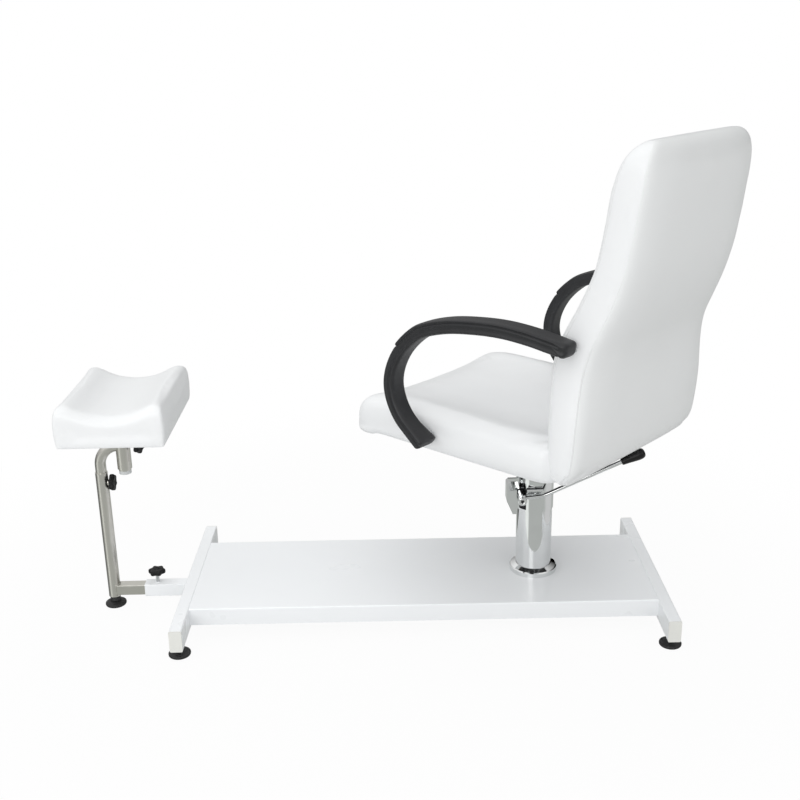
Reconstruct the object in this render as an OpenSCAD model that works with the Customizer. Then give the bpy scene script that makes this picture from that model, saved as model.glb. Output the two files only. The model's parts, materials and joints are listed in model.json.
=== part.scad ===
// Pedicure chair: a padded seat with loop arms on a hydraulic pump column, a flat
// steel base, and a foot-rest pad on a telescopic post that slides out of the base.
// Millimetres, +Z up. The chair faces -X when its seat is not turned.

/* [Base] */
// Length of the base over both cross tubes
base_l = 1100; // [1000:10:1200]
// Length of a cross tube, without its end caps
rail_l = 516; // [440:4:600]
// Width of a cross tube
rail_w = 28; // [24:1:34]
// Height of a cross tube
rail_h = 50; // [46:1:60]
// Wall of a cross tube
rail_wall = 2; // [1.5:0.5:2]
// Clear height between the floor and the cross tubes
ground_gap = 25; // [22:1:30]
// Width of the deck panel
deck_w = 330; // [300:10:400]
// Sheet thickness of the deck panel
deck_t = 3; // [2:0.5:4]
// Height of the deck panel's folded sides
deck_side_h = 40; // [30:1:44]
// Distance from the middle of the base back to the column
column_x = 262; // [200:2:300]

/* [Levelling feet] */
// Diameter of a foot's disc
foot_d = 49; // [40:1:56]
// Height of a foot's disc and its cone
foot_h = 14; // [10:1:18]
// Thread diameter of a foot's stem
foot_stem_d = 8; // [6:1:10]
// Length of a foot's stem
foot_stem_l = 34; // [28:1:38]
// Distance of a foot from the end of its cross tube
foot_inset = 30; // [20:1:60]

/* [Pump column] */
// Diameter of the column
column_d = 82; // [78:1:90]
// Diameter of the pump head
head_d = 86; // [84:1:96]
// Height of the head's lower edge above the floor
head_z = 236; // [200:2:250]
// Height of the head
head_h = 109; // [100:1:115]
// Diameter of the ring round the column's foot
ring_d = 109; // [104:1:120]
// Height of that ring
ring_h = 12; // [10:1:16]
// Diameter of the ram
ram_d = 38; // [30:1:42]
// Bore of the oil cylinder
piston_d = 50; // [46:1:54]
// Height that the pump can lift the seat
lift = 100; // [60:5:110]

/* [Pump lever] */
// Diameter of the lever's hub
hub_d = 21; // [18:1:22]
// Length of the lever's hub
hub_l = 40; // [30:1:42]
// Diameter of the lever's rod
lever_d = 9.5; // [8:0.5:11]
// Diameter of the pin that the lever turns on
pin_d = 7; // [6:0.5:8]
// Rise of the lever's rod, in degrees
lever_rise = 24.5; // [15:0.5:28]
// Length of the rod's straight part
lever_l = 208; // [150:1:215]
// Length of the grip
grip_l = 56; // [50:1:62]
// Largest diameter of the grip
grip_d = 25; // [20:1:28]

/* [Seat] */
// Angle that the seat is turned to the sitter's right, in degrees
seat_turn = 43; // [0:1:60]
// Height of the seat's flat underside above the floor
seat_z = 419; // [410:1:440]
// Thickness of the seat cushion at its sides
seat_t = 87; // [70:1:100]
// Length of the seat from its nose to the back
seat_l = 524; // [460:2:540]
// Width of the seat
seat_w = 514; // [480:2:540]
// Thickness of the plywood shell
ply_t = 12; // [10:1:14]

/* [Back] */
// Height of the back from the seat's underside to its top
back_h = 679; // [600:1:740]
// Width of the back at the seat
back_w = 512; // [480:2:530]
// Distance from the column axis back to the foremost line of the back
back_front_x = 180; // [160:2:190]
// Depth over which the back leans
back_lean = 190; // [170:2:210]

/* [Arms] */
// Distance from the seat's side to the inner face of an arm's loop
arm_stand_off = 11.5; // [8:0.5:30]
// Width of an arm
arm_w = 44; // [36:1:50]
// Depth of an arm's frame where it carries no pad
arm_t = 28; // [24:1:32]
// Height that the arm pad stands proud of the frame
arm_pad_proud = 3; // [2:0.5:5]
// Length of an arm's loop, front to rear
arm_l = 420; // [400:5:430]
// Height of an arm's loop
arm_h = 273; // [240:1:290]

/* [Foot rest] */
// Distance that the foot rest's upright stands in front of the base
reach = 178; // [160:1:200]
// Side of the square slide tube
slide_w = 25; // [20:1:30]
// Side of the square socket tube
socket_w = 30; // [30:1:34]
// Length of the socket tube in front of the base
socket_out = 103; // [90:1:110]
// Length of the socket tube behind the front of the base
socket_in = 120; // [100:5:150]
// Diameter of the upright tube
upright_d = 28; // [28:1:32]
// Height of the upright tube's top above the floor
upright_top = 340; // [320:5:350]
// Diameter of the gooseneck tube
neck_d = 24.8; // [22:0.1:24.9]
// Bend radius of the gooseneck tube
neck_r = 46; // [40:1:50]
// Height of the gooseneck's level end above the floor
neck_z = 404; // [398:1:420]
// Distance from the upright to the pad's post
post_offset = 55; // [50:1:60]
// Diameter of the pad's post
post_d = 28; // [24:1:30]
// Height of the pad's underside above the floor
pad_z = 458; // [450:1:480]
// Length of the pad, along the chair
pad_l = 236; // [200:2:250]
// Width of the pad
pad_w = 322; // [280:2:340]
// Height of the pad's ridges
pad_h = 88; // [70:1:95]
// Distance from the post to the middle of the pad
pad_offset = 15; // [10:1:30]

/* [Clamp knobs] */
// Diameter of a clamp knob over its lobes
knob_d = 40; // [34:1:42]
// Thickness of a clamp knob
knob_t = 12; // [10:1:16]
// Thread diameter of a clamp knob's screw
knob_screw_d = 8; // [6:1:8]

/* [Hidden] */

$fn = 64;

// Middle of the base measured from the middle of the whole chair's footprint
origin_x = 56.1;
origin_y = -3.4;

// Overrun of every cut
cut = 1;
// Radial clearance of a running fit
run_gap = 0.05;
// Clearance of a bolt in its hole
bolt_gap = 0.3;
// Clearance between a slide tube's flat and its socket
slide_gap = 0.1;
// Clearance between soft or clamped faces of two bodies
soft_gap = 0.3;

// Heights of the base
rail_top = ground_gap + rail_h;
rail_x = base_l / 2 - rail_w / 2;
rail_corner_r = 3;
foot_y = rail_l / 2 - foot_inset;

// Foot details
foot_bevel = 0.15;
foot_bevel_h = 1.75;
foot_edge_h = 7;
foot_boss_d = 18;
insert_h = 9;
insert_d = 20;
cap_flange = 2;
cap_plug_l = 14;

// Pump details
plate_w = 180;
plate_t = 5;
pump_bolt_d = 6;
pump_bolt_head_h = 4;
pump_bolt_head_d = 10;
pump_bolt_grip = 8;
pump_bolt_circle = (ring_d + column_d) / 2;
ring_chamfer = 2;
ring_rise = 5;
column_wall = 3;
column_lap = 14;
cylinder_wall = 6;
cylinder_base = 6;
head_top_t = 15;
head_top = head_z + head_h;
cylinder_top = head_top - head_top_t;
gland_h = 5;
gland_d = 56;
piston_h = 20;
seal_h = 6;
seal_depth = 3;
piston_z = rail_top + cylinder_base;

// Lever details, measured from the column axis
hub_x = -35;
hub_front = -64;
hub_lift = 38;
hub_z = head_z + hub_lift;
pin_depth = 22;
pin_recess = 4;
window_w = 23;
window_h = 52;
window_depth = 20;
window_lift = 4;
window_z = head_z + window_lift;
elbow_r = 60;
elbow_l = 38;
rod_start = 6;
hub_rise = 6;
rod_step = 3;
rod_inset = 12;
stub_d = 11;
stub_x = -24;
stub_l = 36;
stub_y = -46;
stub_lift = 58;
stub_z = head_z + stub_lift;
bracket_out = 69;
bracket_wall = 5;
bracket_z = head_z;
bracket_h = 76;
bracket_lip_h = 58;
bracket_chamfer_w = 14;
bracket_chamfer_h = 32;
bracket_front = 48;
bracket_back = 14;
bracket_root = 21.5;

// Seat carrier details
swivel_t = 8;
swivel_l = 260;
swivel_w = 200;
swivel_hub_d = 56;
washer_t = 3;
swivel_z = seat_z - swivel_t;
swivel_hub_gap = 2;
seat_bolt_d = 8;
seat_bolt_head_d = 13;
seat_bolt_head_h = 6;
seat_bolt_x = 100;
seat_bolt_y = 70;
seat_bolt_bite = 10;
seat_bolt_grip = swivel_t + seat_bolt_bite;
ram_top = swivel_z - washer_t;
seat_lap = 10;
seat_rear = back_front_x + seat_lap;
seat_front = seat_rear - seat_l;
cover_t = 1.5;
cover_inset = 34;
cover_front_share = 0.19;

// Places of the arms' feet, tips and loops
arm_gauge = seat_w + 2 * arm_stand_off + arm_w;
arm_foot_y = seat_w / 2 + 2 * soft_gap;
arm_tip_inset = 24.4;
arm_tip_y = back_w / 2 - arm_tip_inset;
arm_tip_back = 74;
arm_front_x = back_front_x + arm_tip_back - arm_l;
arm_low_z = 43;
arm_end_margin = 6;
arm_edge_margin = 2.5;

// Shell: half widths of its two parts, place of the seat part's front, and arm blocks
shell_front_inset = 55;
shell_front = seat_front + shell_front_inset;
shell_seat_inset = 42;
shell_seat_half = seat_w / 2 - shell_seat_inset;
shell_back_inset = 71;
shell_back_half = back_w / 2 - shell_back_inset;
shell_bend_inset = 30;
shell_bend_x = back_front_x - shell_bend_inset;
shell_inset = 27;
shell_room = 6;
low_block_l = 60;
low_block_w = 60;
low_block_h = 49;
low_block_gap = 41;
low_block_x = arm_front_x + low_block_gap;
low_block_inset = 50;
low_block_y = shell_seat_half - low_block_inset;
high_block_l = 50;
high_block_w = 65;
high_block_h = 45;
high_block_gap = 42;
high_block_x = back_front_x + high_block_gap;
high_block_inset = 45;
high_block_y = shell_back_half - high_block_inset;
high_block_z = 271;

// Places and sizes of the arm bolts
arm_bolt_d = 8;
arm_bolt_head_d = 13;
arm_bolt_head_h = 5;
low_bolt_x = low_block_x + low_block_l / 2;
low_bolt_z = 48;
low_bolt_grip = 24.4;
low_bolt_l = arm_foot_y - low_block_y + low_bolt_grip;
high_bolt_inset = 22;
high_bolt_x = high_block_x + high_bolt_inset;
high_bolt_rise = 16;
high_bolt_z = high_block_z + high_bolt_rise;
high_bolt_grip = 29.4;
high_bolt_l = arm_tip_y - high_block_y + high_bolt_grip;

// Foot rest details
socket_z = ground_gap + rail_wall;
socket_wall = (socket_w - slide_w) / 2 - slide_gap;
socket_corner_r = 1.6;
socket_mid_z = socket_z + socket_w / 2;
socket_tip_x = -base_l / 2 - socket_out;
upright_x = -base_l / 2 - reach;
slide_lap = 153;
slide_wall = 1.8;
upright_wall = (upright_d - neck_d) / 2 - 2 * run_gap;
neck_wall = 2;
neck_low = 150;
neck_bend_z = neck_z - neck_r;
post_x = upright_x + post_offset;
sleeve_wall = 2.2;
sleeve_drop = 55;
sleeve_low = neck_z - sleeve_drop;
sleeve_h = 87;
post_proud = 4;
post_low = sleeve_low - post_proud;
post_wall = 2;
post_cap_h = 8;
post_cap_plug = 12;
post_cap_inset = 0.2;
pad_plate_t = 5;
pad_plate_l = 120;
pad_plate_w = 180;
pad_board_t = 10;
pad_board_l = 170;
pad_board_w = 260;
pad_screw_d = 6;
pad_screw_head_h = 3;
pad_screw_head_d = 11;
pad_screw_x = 45;
pad_screw_y = 75;
pad_screw_bite = 7;
pad_screw_grip = pad_plate_t + pad_screw_bite;
plug_l = 16;
plug_t = 2;

// Clamp knob details
nut_d = 14;
nut_h = 2;
knob_lobes = 6;
knob_hub_d = 16;
knob_hub_h = 1;
knob_stand = 22;
reach_knob_inset = 29;
reach_knob_x = socket_tip_x + reach_knob_inset;
reach_knob_z = socket_z + socket_w + knob_stand;
height_knob_drop = 26;
height_knob_z = upright_top - height_knob_drop;
turn_knob_rise = 60;
turn_knob_z = sleeve_low + turn_knob_rise;
turn_knob_r = post_d / 2 + knob_stand;
turn_angle = -18;

// Back: height, rear face, front face and half width, each a share of back_h,
// back_lean, back_lean and back_w / 2
back_share = [
    [0.000, 0.230, 0.205, 0.840], [0.004, 0.275, 0.185, 0.880], [0.012, 0.315, 0.150, 0.912],
    [0.022, 0.352, 0.115, 0.934], [0.038, 0.388, 0.080, 0.949], [0.060, 0.418, 0.055, 0.958],
    [0.082, 0.438, 0.042, 0.962], [0.127, 0.463, 0.042, 0.965], [0.208, 0.490, 0.041, 0.965],
    [0.281, 0.503, 0.029, 0.948], [0.348, 0.520, 0.020, 0.926], [0.414, 0.567, 0.060, 0.902],
    [0.473, 0.655, 0.147, 0.883], [0.561, 0.783, 0.295, 0.859], [0.658, 0.883, 0.431, 0.844],
    [0.767, 0.948, 0.504, 0.832], [0.856, 0.992, 0.552, 0.824], [0.922, 1.010, 0.615, 0.809],
    [0.959, 1.000, 0.675, 0.781], [0.982, 0.975, 0.740, 0.735], [0.996, 0.935, 0.800, 0.664],
    [1.000, 0.900, 0.835, 0.580]];
// Half a level section of the back: across and front to rear, as shares
back_ring_share = [
    [0.00, -0.14], [0.30, -0.13], [0.58, -0.09], [0.80, -0.03], [0.93, 0.03],
    [0.985, 0.15], [1.00, 0.50], [0.985, 0.81], [0.93, 0.93], [0.80, 0.985],
    [0.55, 1.04], [0.00, 1.06]];
// Line that parts the back cushion from the rear cover: height share of back_h and
// depth share between the front and the rear face
seam_share = 0.84;

// Seat: place along seat_l, half width, underside and top, as shares of seat_l,
// seat_w / 2, seat_t and seat_t
seat_share = [
    [0.000, 0.885, 0.02, 0.50], [0.005, 0.925, -0.05, 0.64], [0.018, 0.955, -0.10, 0.77],
    [0.048, 0.980, -0.12, 0.885], [0.090, 0.993, -0.09, 0.945], [0.130, 0.997, -0.02, 0.975],
    [0.180, 1.000, 0.00, 0.99], [0.320, 1.000, 0.00, 1.00], [0.600, 1.000, 0.00, 0.98],
    [0.850, 0.996, 0.00, 0.965], [1.000, 0.980, 0.00, 0.955], [1.040, 0.970, 0.02, 0.90],
    [1.070, 0.955, 0.09, 0.80], [1.090, 0.925, 0.18, 0.60]];
// Half a cross section of the seat: across and up, as shares
seat_ring_share = [
    [0.00, 0.00], [0.50, 0.00], [0.90, 0.00], [0.955, 0.05], [0.985, 0.20],
    [1.00, 0.50], [0.985, 0.78], [0.945, 0.93], [0.87, 1.00], [0.76, 0.985],
    [0.62, 0.93], [0.42, 0.885], [0.20, 0.87], [0.00, 0.865]];

// Pad: place across pad_w, then width, underside and top, as shares of pad_w / 2,
// pad_l / 2, pad_h and pad_h
pad_share = [
    [-1.000, 0.965, 0.04, 0.74], [-0.990, 0.990, 0.01, 0.84], [-0.960, 1.00, 0.00, 0.93],
    [-0.900, 1.00, 0.00, 0.98], [-0.800, 1.00, 0.00, 1.00], [0.00, 1.00, 0.00, 1.00],
    [0.800, 1.00, 0.00, 1.00], [0.900, 1.00, 0.00, 0.98], [0.960, 1.00, 0.00, 0.93],
    [0.990, 0.990, 0.01, 0.84], [1.000, 0.965, 0.04, 0.74]];
// Half a cross section of the pad: along the chair and up, as shares
pad_ring_share = [
    [0.00, 0.00], [0.50, 0.00], [0.93, 0.00], [0.975, 0.04], [0.99, 0.20],
    [1.00, 0.50], [0.995, 0.82], [0.97, 0.95], [0.92, 1.00], [0.82, 1.005],
    [0.70, 0.955], [0.52, 0.84], [0.30, 0.745], [0.00, 0.70]];

// Arm: length and height along its loop, as shares of arm_l and arm_h
arm_share = [
    [0.207, -0.033], [0.135, 0.058], [0.067, 0.150], [0.019, 0.271], [0.000, 0.407],
    [0.019, 0.549], [0.071, 0.692], [0.145, 0.810], [0.229, 0.894], [0.381, 0.963],
    [0.550, 0.996], [0.686, 1.000], [0.812, 0.978], [0.907, 0.945], [1.000, 0.916]];
// How far the arm has turned in towards the back, at the same places
arm_toe_share = [0, 0, 0, 0, 0, 0, 0, 0, 0, 0.02, 0.12, 0.30, 0.54, 0.80, 1.00];
// Place along the loop where the pad begins
arm_step_share = 0.44;
// Shares of the loop: steps of the rounded ends, the lap at the pad's step, and where
// the foot of the arm leaves the seat
arm_edge_share = [0.004, 0.006];
arm_lap_share = 0.002;
arm_clear_share = 0.01;
arm_low_share = 0.2;
arm_foot_share = 1 / 12;
// Rounding of an arm's section and of its pad's ends, as shares
arm_corner_share = 0.55;
arm_bevel_share = 0.3;
arm_pad_margin_share = 0.8;

// Grip: half width and place along it, as shares of grip_d and grip_l
grip_share = [
    [0, 0], [0.30, 0], [0.34, 0.04], [0.37, 0.25], [0.46, 0.55], [0.50, 0.72],
    [0.48, 0.86], [0.38, 0.95], [0.18, 1], [0, 1]];
// Knob: core, place of the lobes and size of a lobe, as shares of knob_d
knob_core_share = 0.75;
knob_lobe_place_share = 0.375;
knob_lobe_share = 0.25;
// Least inner corner radius of a square tube, as a share of its wall
tube_corner_share = 0.25;

// Smooth value of a table at a place from 0, its first row, to 1, its last
function at(table, place) =
    let (n = len(table) - 1, p = place * n, i = min(floor(p), n - 1), f = p - i,
         a = table[max(i - 1, 0)], b = table[i], c = table[i + 1], d = table[min(i + 2, n)])
    b + f * (c - a) / 2 + f * f * (2 * a - 5 * b + 4 * c - d) / 2
    + f * f * f * (3 * b - a - 3 * c + d) / 2;

// A half outline and its mirror image as one closed ring of [across, along]
function whole(half) = [
    for (p = half) p,
    for (i = [len(half) - 2:-1:1]) [-half[i][0], half[i][1]]];

// Closed skin over rings that turn anticlockwise seen from their last ring's side
module skin(rings) {
    n = len(rings[0]);
    m = len(rings);
    first_mid = [for (k = [0:2]) (rings[0][0][k] + rings[0][floor(n / 2)][k]) / 2];
    last_mid = [for (k = [0:2]) (rings[m - 1][0][k] + rings[m - 1][floor(n / 2)][k]) / 2];
    polyhedron(
        points = [for (r = rings) each r, first_mid, last_mid],
        faces = [
            for (i = [0:m - 2], j = [0:n - 1])
                [i * n + j, (i + 1) * n + (j + 1) % n, i * n + (j + 1) % n],
            for (i = [0:m - 2], j = [0:n - 1])
                [i * n + j, (i + 1) * n + j, (i + 1) * n + (j + 1) % n],
            for (j = [0:n - 1]) [m * n, j, (j + 1) % n],
            for (j = [0:n - 1]) [m * n + 1, (m - 1) * n + (j + 1) % n, (m - 1) * n + j]]);
}

// Ribbon of constant thickness along a line of points
function line_dir(line, i) =
    let (a = line[max(i - 1, 0)], b = line[min(i + 1, len(line) - 1)]) (b - a) / norm(b - a);
function ribbon(line, t) = [
    for (i = [0:len(line) - 1]) line[i] + t / 2 * [-line_dir(line, i)[1], line_dir(line, i)[0]],
    for (i = [len(line) - 1:-1:0]) line[i] - t / 2 * [-line_dir(line, i)[1], line_dir(line, i)[0]]];

// Rectangle with true round corners
module round_rect(w, h, r) {
    square([w - 2 * r, h], center = true);
    square([w, h - 2 * r], center = true);
    for (x = [-1, 1], y = [-1, 1]) translate([x * (w / 2 - r), y * (h / 2 - r)]) circle(r);
}

// Square or rectangular tube along +X, from 0
module box_tube(l, w, h, wall, r) {
    rotate([90, 0, 90]) linear_extrude(l) difference() {
        round_rect(w, h, r);
        round_rect(w - 2 * wall, h - 2 * wall, max(r - wall, tube_corner_share * wall));
    }
}

module ring(d_out, d_in, h) {
    difference() {
        cylinder(h = h, d = d_out);
        translate([0, 0, -cut]) cylinder(h = h + 2 * cut, d = d_in);
    }
}

// The whole chair stands about the middle of its footprint
module placed() { translate([origin_x, origin_y, 0]) children(); }
// The pump's own place on the base
module at_column() { placed() translate([column_x, 0, 0]) children(); }
// The seat's frame: +X to the chair's rear, +Y to the sitter's right, 0 at the floor
module at_seat() { at_column() rotate([0, 0, -seat_turn]) children(); }
module both_sides() {
    children();
    mirror([0, 1, 0]) children();
}

// Base
module deck_profile() {
    difference() {
        union() {
            translate([0, -deck_side_h / 2]) square([deck_w, deck_side_h - 2 * deck_t], center = true);
            translate([0, -deck_t]) square([deck_w - 2 * deck_t, 2 * deck_t], center = true);
            translate([0, -deck_side_h + deck_t / 2]) square([deck_w, deck_t], center = true);
            for (s = [-1, 1]) translate([s * (deck_w / 2 - deck_t), -deck_t]) circle(deck_t);
        }
        translate([0, -deck_t - deck_side_h / 2])
            square([deck_w - 2 * deck_t, deck_side_h], center = true);
    }
}
module pump_bolt_holes(d, z, h) {
    for (a = [45:90:315]) rotate(a) translate([pump_bolt_circle / 2, 0, z]) cylinder(h = h, d = d);
}
module deck_panel() color("white") difference() {
    placed() translate([-base_l / 2 + rail_w, 0, rail_top])
        rotate([90, 0, 90]) linear_extrude(base_l - 2 * rail_w) deck_profile();
    at_column() pump_bolt_holes(pump_bolt_d + 2 * bolt_gap, rail_top - deck_t - cut, deck_t + 2 * cut);
}

module rail(side) {
    difference() {
        translate([side * rail_x, -rail_l / 2, ground_gap + rail_h / 2]) rotate([0, 0, 90])
            box_tube(rail_l, rail_w, rail_h, rail_wall, rail_corner_r);
        for (y = [-foot_y, foot_y]) translate([side * rail_x, y, ground_gap - cut])
            cylinder(h = rail_wall + 2 * cut, d = foot_stem_d + 2 * run_gap);
    }
}
module front_rail() color("white") placed() difference() {
    rail(-1);
    translate([-base_l / 2 - cut, -socket_w / 2, socket_z])
        cube([rail_w + 2 * cut, socket_w, socket_w]);
}
module rear_rail() color("white") placed() rail(1);

module end_cap() {
    translate([0, cap_flange / 2, 0]) rotate([90, 0, 0]) linear_extrude(cap_flange, center = true)
        round_rect(rail_w, rail_h, rail_corner_r);
    translate([0, -cap_plug_l / 2, 0]) rotate([90, 0, 0]) linear_extrude(cap_plug_l, center = true)
        round_rect(rail_w - 2 * rail_wall, rail_h - 2 * rail_wall, rail_corner_r - rail_wall);
}
module rail_end_caps() color("ivory") placed() for (side = [-1, 1]) both_sides()
    translate([side * rail_x, rail_l / 2, ground_gap + rail_h / 2]) end_cap();

module foot_inserts() color("silver") placed() for (x = [-rail_x, rail_x], y = [-foot_y, foot_y])
    translate([x, y, ground_gap + rail_wall]) ring(insert_d, foot_stem_d + 2 * run_gap, insert_h);

module socket_tube() color("white") placed() difference() {
    union() {
        translate([socket_tip_x, 0, socket_mid_z])
            box_tube(socket_out + socket_in, socket_w, socket_w, socket_wall, socket_corner_r);
        translate([reach_knob_x, 0, socket_z + socket_w - socket_wall / 2])
            cylinder(h = nut_h + socket_wall / 2, d = nut_d);
    }
    translate([reach_knob_x, 0, socket_mid_z + slide_w / 2])
        cylinder(h = socket_w, d = knob_screw_d + 2 * run_gap);
}

// Pump column
module pump_plate() color("gray") at_column() difference() {
    translate([-plate_w / 2, -plate_w / 2, rail_top - deck_t - plate_t])
        cube([plate_w, plate_w, plate_t]);
    pump_bolt_holes(pump_bolt_d + 2 * bolt_gap, rail_top - deck_t - plate_t - cut, plate_t + 2 * cut);
}
module pump_bolts() color("silver") at_column() {
    low = rail_top - deck_t - plate_t;
    pump_bolt_holes(pump_bolt_d, low, deck_t + plate_t + pump_bolt_grip);
    pump_bolt_holes(pump_bolt_head_d, low - pump_bolt_head_h, pump_bolt_head_h);
}
module column_ring() color("lightgray") at_column() difference() {
    translate([0, 0, rail_top]) rotate_extrude() polygon([
        [column_d / 2 + run_gap, 0], [ring_d / 2, 0], [ring_d / 2, ring_h - ring_chamfer],
        [ring_d / 2 - ring_chamfer, ring_h], [column_d / 2 + run_gap, ring_h + ring_rise]]);
    pump_bolt_holes(pump_bolt_d + 2 * run_gap, rail_top - cut, pump_bolt_grip + 2 * cut);
}
module pump_column() color("lightgray") at_column() translate([0, 0, rail_top])
    ring(column_d, column_d - 2 * column_wall, head_z + column_lap - rail_top);
module oil_cylinder() color("gray") at_column() difference() {
    translate([0, 0, rail_top]) cylinder(h = cylinder_top - rail_top, d = piston_d + 2 * cylinder_wall);
    translate([0, 0, piston_z])
        cylinder(h = cylinder_top - piston_z + cut, d = piston_d + 2 * run_gap);
}
module pump_head() color("lightgray") at_column() difference() {
    union() {
        translate([0, 0, head_z]) cylinder(h = head_h, d = head_d);
        translate([stub_x, stub_y, stub_z]) rotate([0, 90, 0]) cylinder(h = stub_l, d = stub_d);
    }
    translate([0, 0, head_z - cut]) cylinder(h = column_lap + cut, d = column_d + 2 * run_gap);
    translate([0, 0, head_z])
        cylinder(h = head_h - head_top_t, d = piston_d + 2 * cylinder_wall + 2 * run_gap);
    translate([0, 0, head_z]) cylinder(h = head_h + cut, d = ram_d + 2 * run_gap);
    translate([hub_x - window_w / 2, -head_d, window_z])
        cube([window_w, head_d - window_depth, window_h]);
    translate([hub_x, -window_depth + pin_depth, hub_z]) rotate([90, 0, 0])
        cylinder(h = pin_depth + cut, d = pin_d);
}
module ram_gland() color("dimgray") at_column() translate([0, 0, head_top])
    ring(gland_d, ram_d + 2 * run_gap, gland_h);

// The channel that shields the lever's hub on the head's front left
module lever_bracket() color("lightgray") at_column() difference() {
    translate([0, -bracket_back, 0]) rotate([90, 0, 0])
        linear_extrude(bracket_front - bracket_back) polygon([
        [-bracket_out, bracket_z + bracket_chamfer_h], [-bracket_out + bracket_chamfer_w, bracket_z],
        [-bracket_root, bracket_z], [-bracket_root, bracket_z + bracket_h],
        [-bracket_out + bracket_wall, bracket_z + bracket_h],
        [-bracket_out, bracket_z + bracket_h - bracket_wall]]);
    translate([-bracket_out + bracket_wall, -bracket_front - cut, bracket_z + bracket_lip_h])
        cube([bracket_out, bracket_front - bracket_back - bracket_wall + cut, bracket_h]);
    translate([-bracket_out + bracket_chamfer_w, -bracket_front + bracket_wall, bracket_z - cut])
        cube([bracket_out, bracket_front - bracket_back - 2 * bracket_wall, bracket_h]);
    translate([hub_x - window_w / 2, -bracket_front - cut, bracket_z - cut])
        cube([bracket_out, bracket_front - bracket_back - bracket_wall + cut, bracket_h + 2 * cut]);
    cylinder(h = rail_top + head_top, d = head_d);
}
module lever_pin() color("silver") at_column()
    translate([hub_x, -window_depth + pin_depth, hub_z]) rotate([90, 0, 0])
    cylinder(h = -hub_front - window_depth + pin_depth - pin_recess, d = pin_d);

// Levelling feet
module foot_place(n) {
    place = n == 5 ? [upright_x, 0] : [(n < 3 ? -1 : 1) * rail_x, (n % 2 == 1 ? -1 : 1) * foot_y];
    placed() translate([place[0], place[1], 0]) children();
}
module foot_disc(n) color("black") foot_place(n) difference() {
    rotate_extrude() polygon([[0, 0], [foot_d / 2 - foot_bevel, 0], [foot_d / 2, foot_bevel_h],
        [foot_d / 2, foot_edge_h], [foot_boss_d / 2, foot_h], [0, foot_h]]);
    translate([0, 0, foot_edge_h / 2]) cylinder(h = foot_h, d = foot_stem_d);
}
module foot_stem(n) color("silver") foot_place(n)
    translate([0, 0, foot_edge_h / 2]) cylinder(h = foot_stem_l, d = foot_stem_d);

// Ram
module ram_rod() color("silver") at_column() translate([0, 0, piston_z + piston_h])
    cylinder(h = ram_top - piston_z - piston_h, d = ram_d);
module ram_piston() color("gray") at_column() translate([0, 0, piston_z]) difference() {
    cylinder(h = piston_h, d = piston_d);
    translate([0, 0, (piston_h - seal_h) / 2]) ring(piston_d + cut, piston_d - 2 * seal_depth, seal_h);
}
module piston_seal() color("black") at_column() translate([0, 0, piston_z + (piston_h - seal_h) / 2])
    ring(piston_d + run_gap, piston_d - 2 * seal_depth, seal_h);
module thrust_washer() color("goldenrod") at_column() translate([0, 0, ram_top])
    cylinder(h = washer_t, d = ram_d - cut);

// Seat
module seat_bolt_places(z) {
    for (x = [-seat_bolt_x, seat_bolt_x], y = [-seat_bolt_y, seat_bolt_y])
        translate([x, y, z]) children();
}
module swivel_plate() color("dimgray") at_seat() {
    difference() {
        translate([-swivel_l / 2, -swivel_w / 2, swivel_z]) cube([swivel_l, swivel_w, swivel_t]);
        seat_bolt_places(swivel_z - cut) cylinder(h = swivel_t + 2 * cut, d = seat_bolt_d + 2 * bolt_gap);
    }
    translate([0, 0, head_top + gland_h + swivel_hub_gap])
        ring(swivel_hub_d, ram_d + 2 * run_gap, swivel_z - head_top - gland_h - swivel_hub_gap);
}
module seat_bolts() color("silver") at_seat() seat_bolt_places(swivel_z) {
    cylinder(h = seat_bolt_grip, d = seat_bolt_d);
    translate([0, 0, -seat_bolt_head_h]) cylinder(h = seat_bolt_head_h, d = seat_bolt_head_d);
}

// Depth of the seam line behind the front face at each row of the back's table
function back_w_at(row) = seat_z + row[0] * back_h;
function back_front_at(row) = back_front_x + row[2] * back_lean;
function back_rear_at(row) = back_front_x + row[1] * back_lean;
function seam_u(row) = back_front_at(row) + seam_share * (back_rear_at(row) - back_front_at(row));
shell_rows = [for (row = back_share) if (row[0] > 0.07 && row[0] < 0.93) row];
shell_line = concat(
    [[shell_front, seat_z + ply_t / 2], [shell_bend_x, seat_z + ply_t / 2],
     [(shell_bend_x + back_rear_at(shell_rows[0]) - shell_inset) / 2, seat_z + ply_t]],
    [for (row = shell_rows) [back_rear_at(row) - shell_inset, back_w_at(row)]]);

// Solid shell with the four hardwood blocks that the arms bolt to
module shell_solid() {
    rotate([90, 0, 0]) linear_extrude(2 * shell_back_half, center = true)
        polygon(ribbon(shell_line, ply_t));
    translate([shell_front, -shell_seat_half, seat_z])
        cube([shell_bend_x - shell_front, 2 * shell_seat_half, ply_t]);
    both_sides() translate([low_block_x, low_block_y, seat_z + ply_t])
        cube([low_block_l, low_block_w, low_block_h]);
    both_sides() translate([high_block_x, high_block_y, seat_z + high_block_z])
        cube([high_block_l, high_block_w, high_block_h]);
}
module arm_bolt_cuts(d) {
    both_sides() translate([low_bolt_x, low_block_y, seat_z + low_bolt_z]) rotate([-90, 0, 0])
        cylinder(h = low_bolt_l, d = d);
    both_sides() translate([high_bolt_x, high_block_y, seat_z + high_bolt_z]) rotate([-90, 0, 0])
        cylinder(h = high_bolt_l, d = d);
}
module arm_bolt_heads(d, h) {
    both_sides() translate([low_bolt_x, low_block_y - h, seat_z + low_bolt_z]) rotate([-90, 0, 0])
        cylinder(h = h, d = d);
    both_sides() translate([high_bolt_x, high_block_y - h, seat_z + high_bolt_z]) rotate([-90, 0, 0])
        cylinder(h = h, d = d);
}
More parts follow.
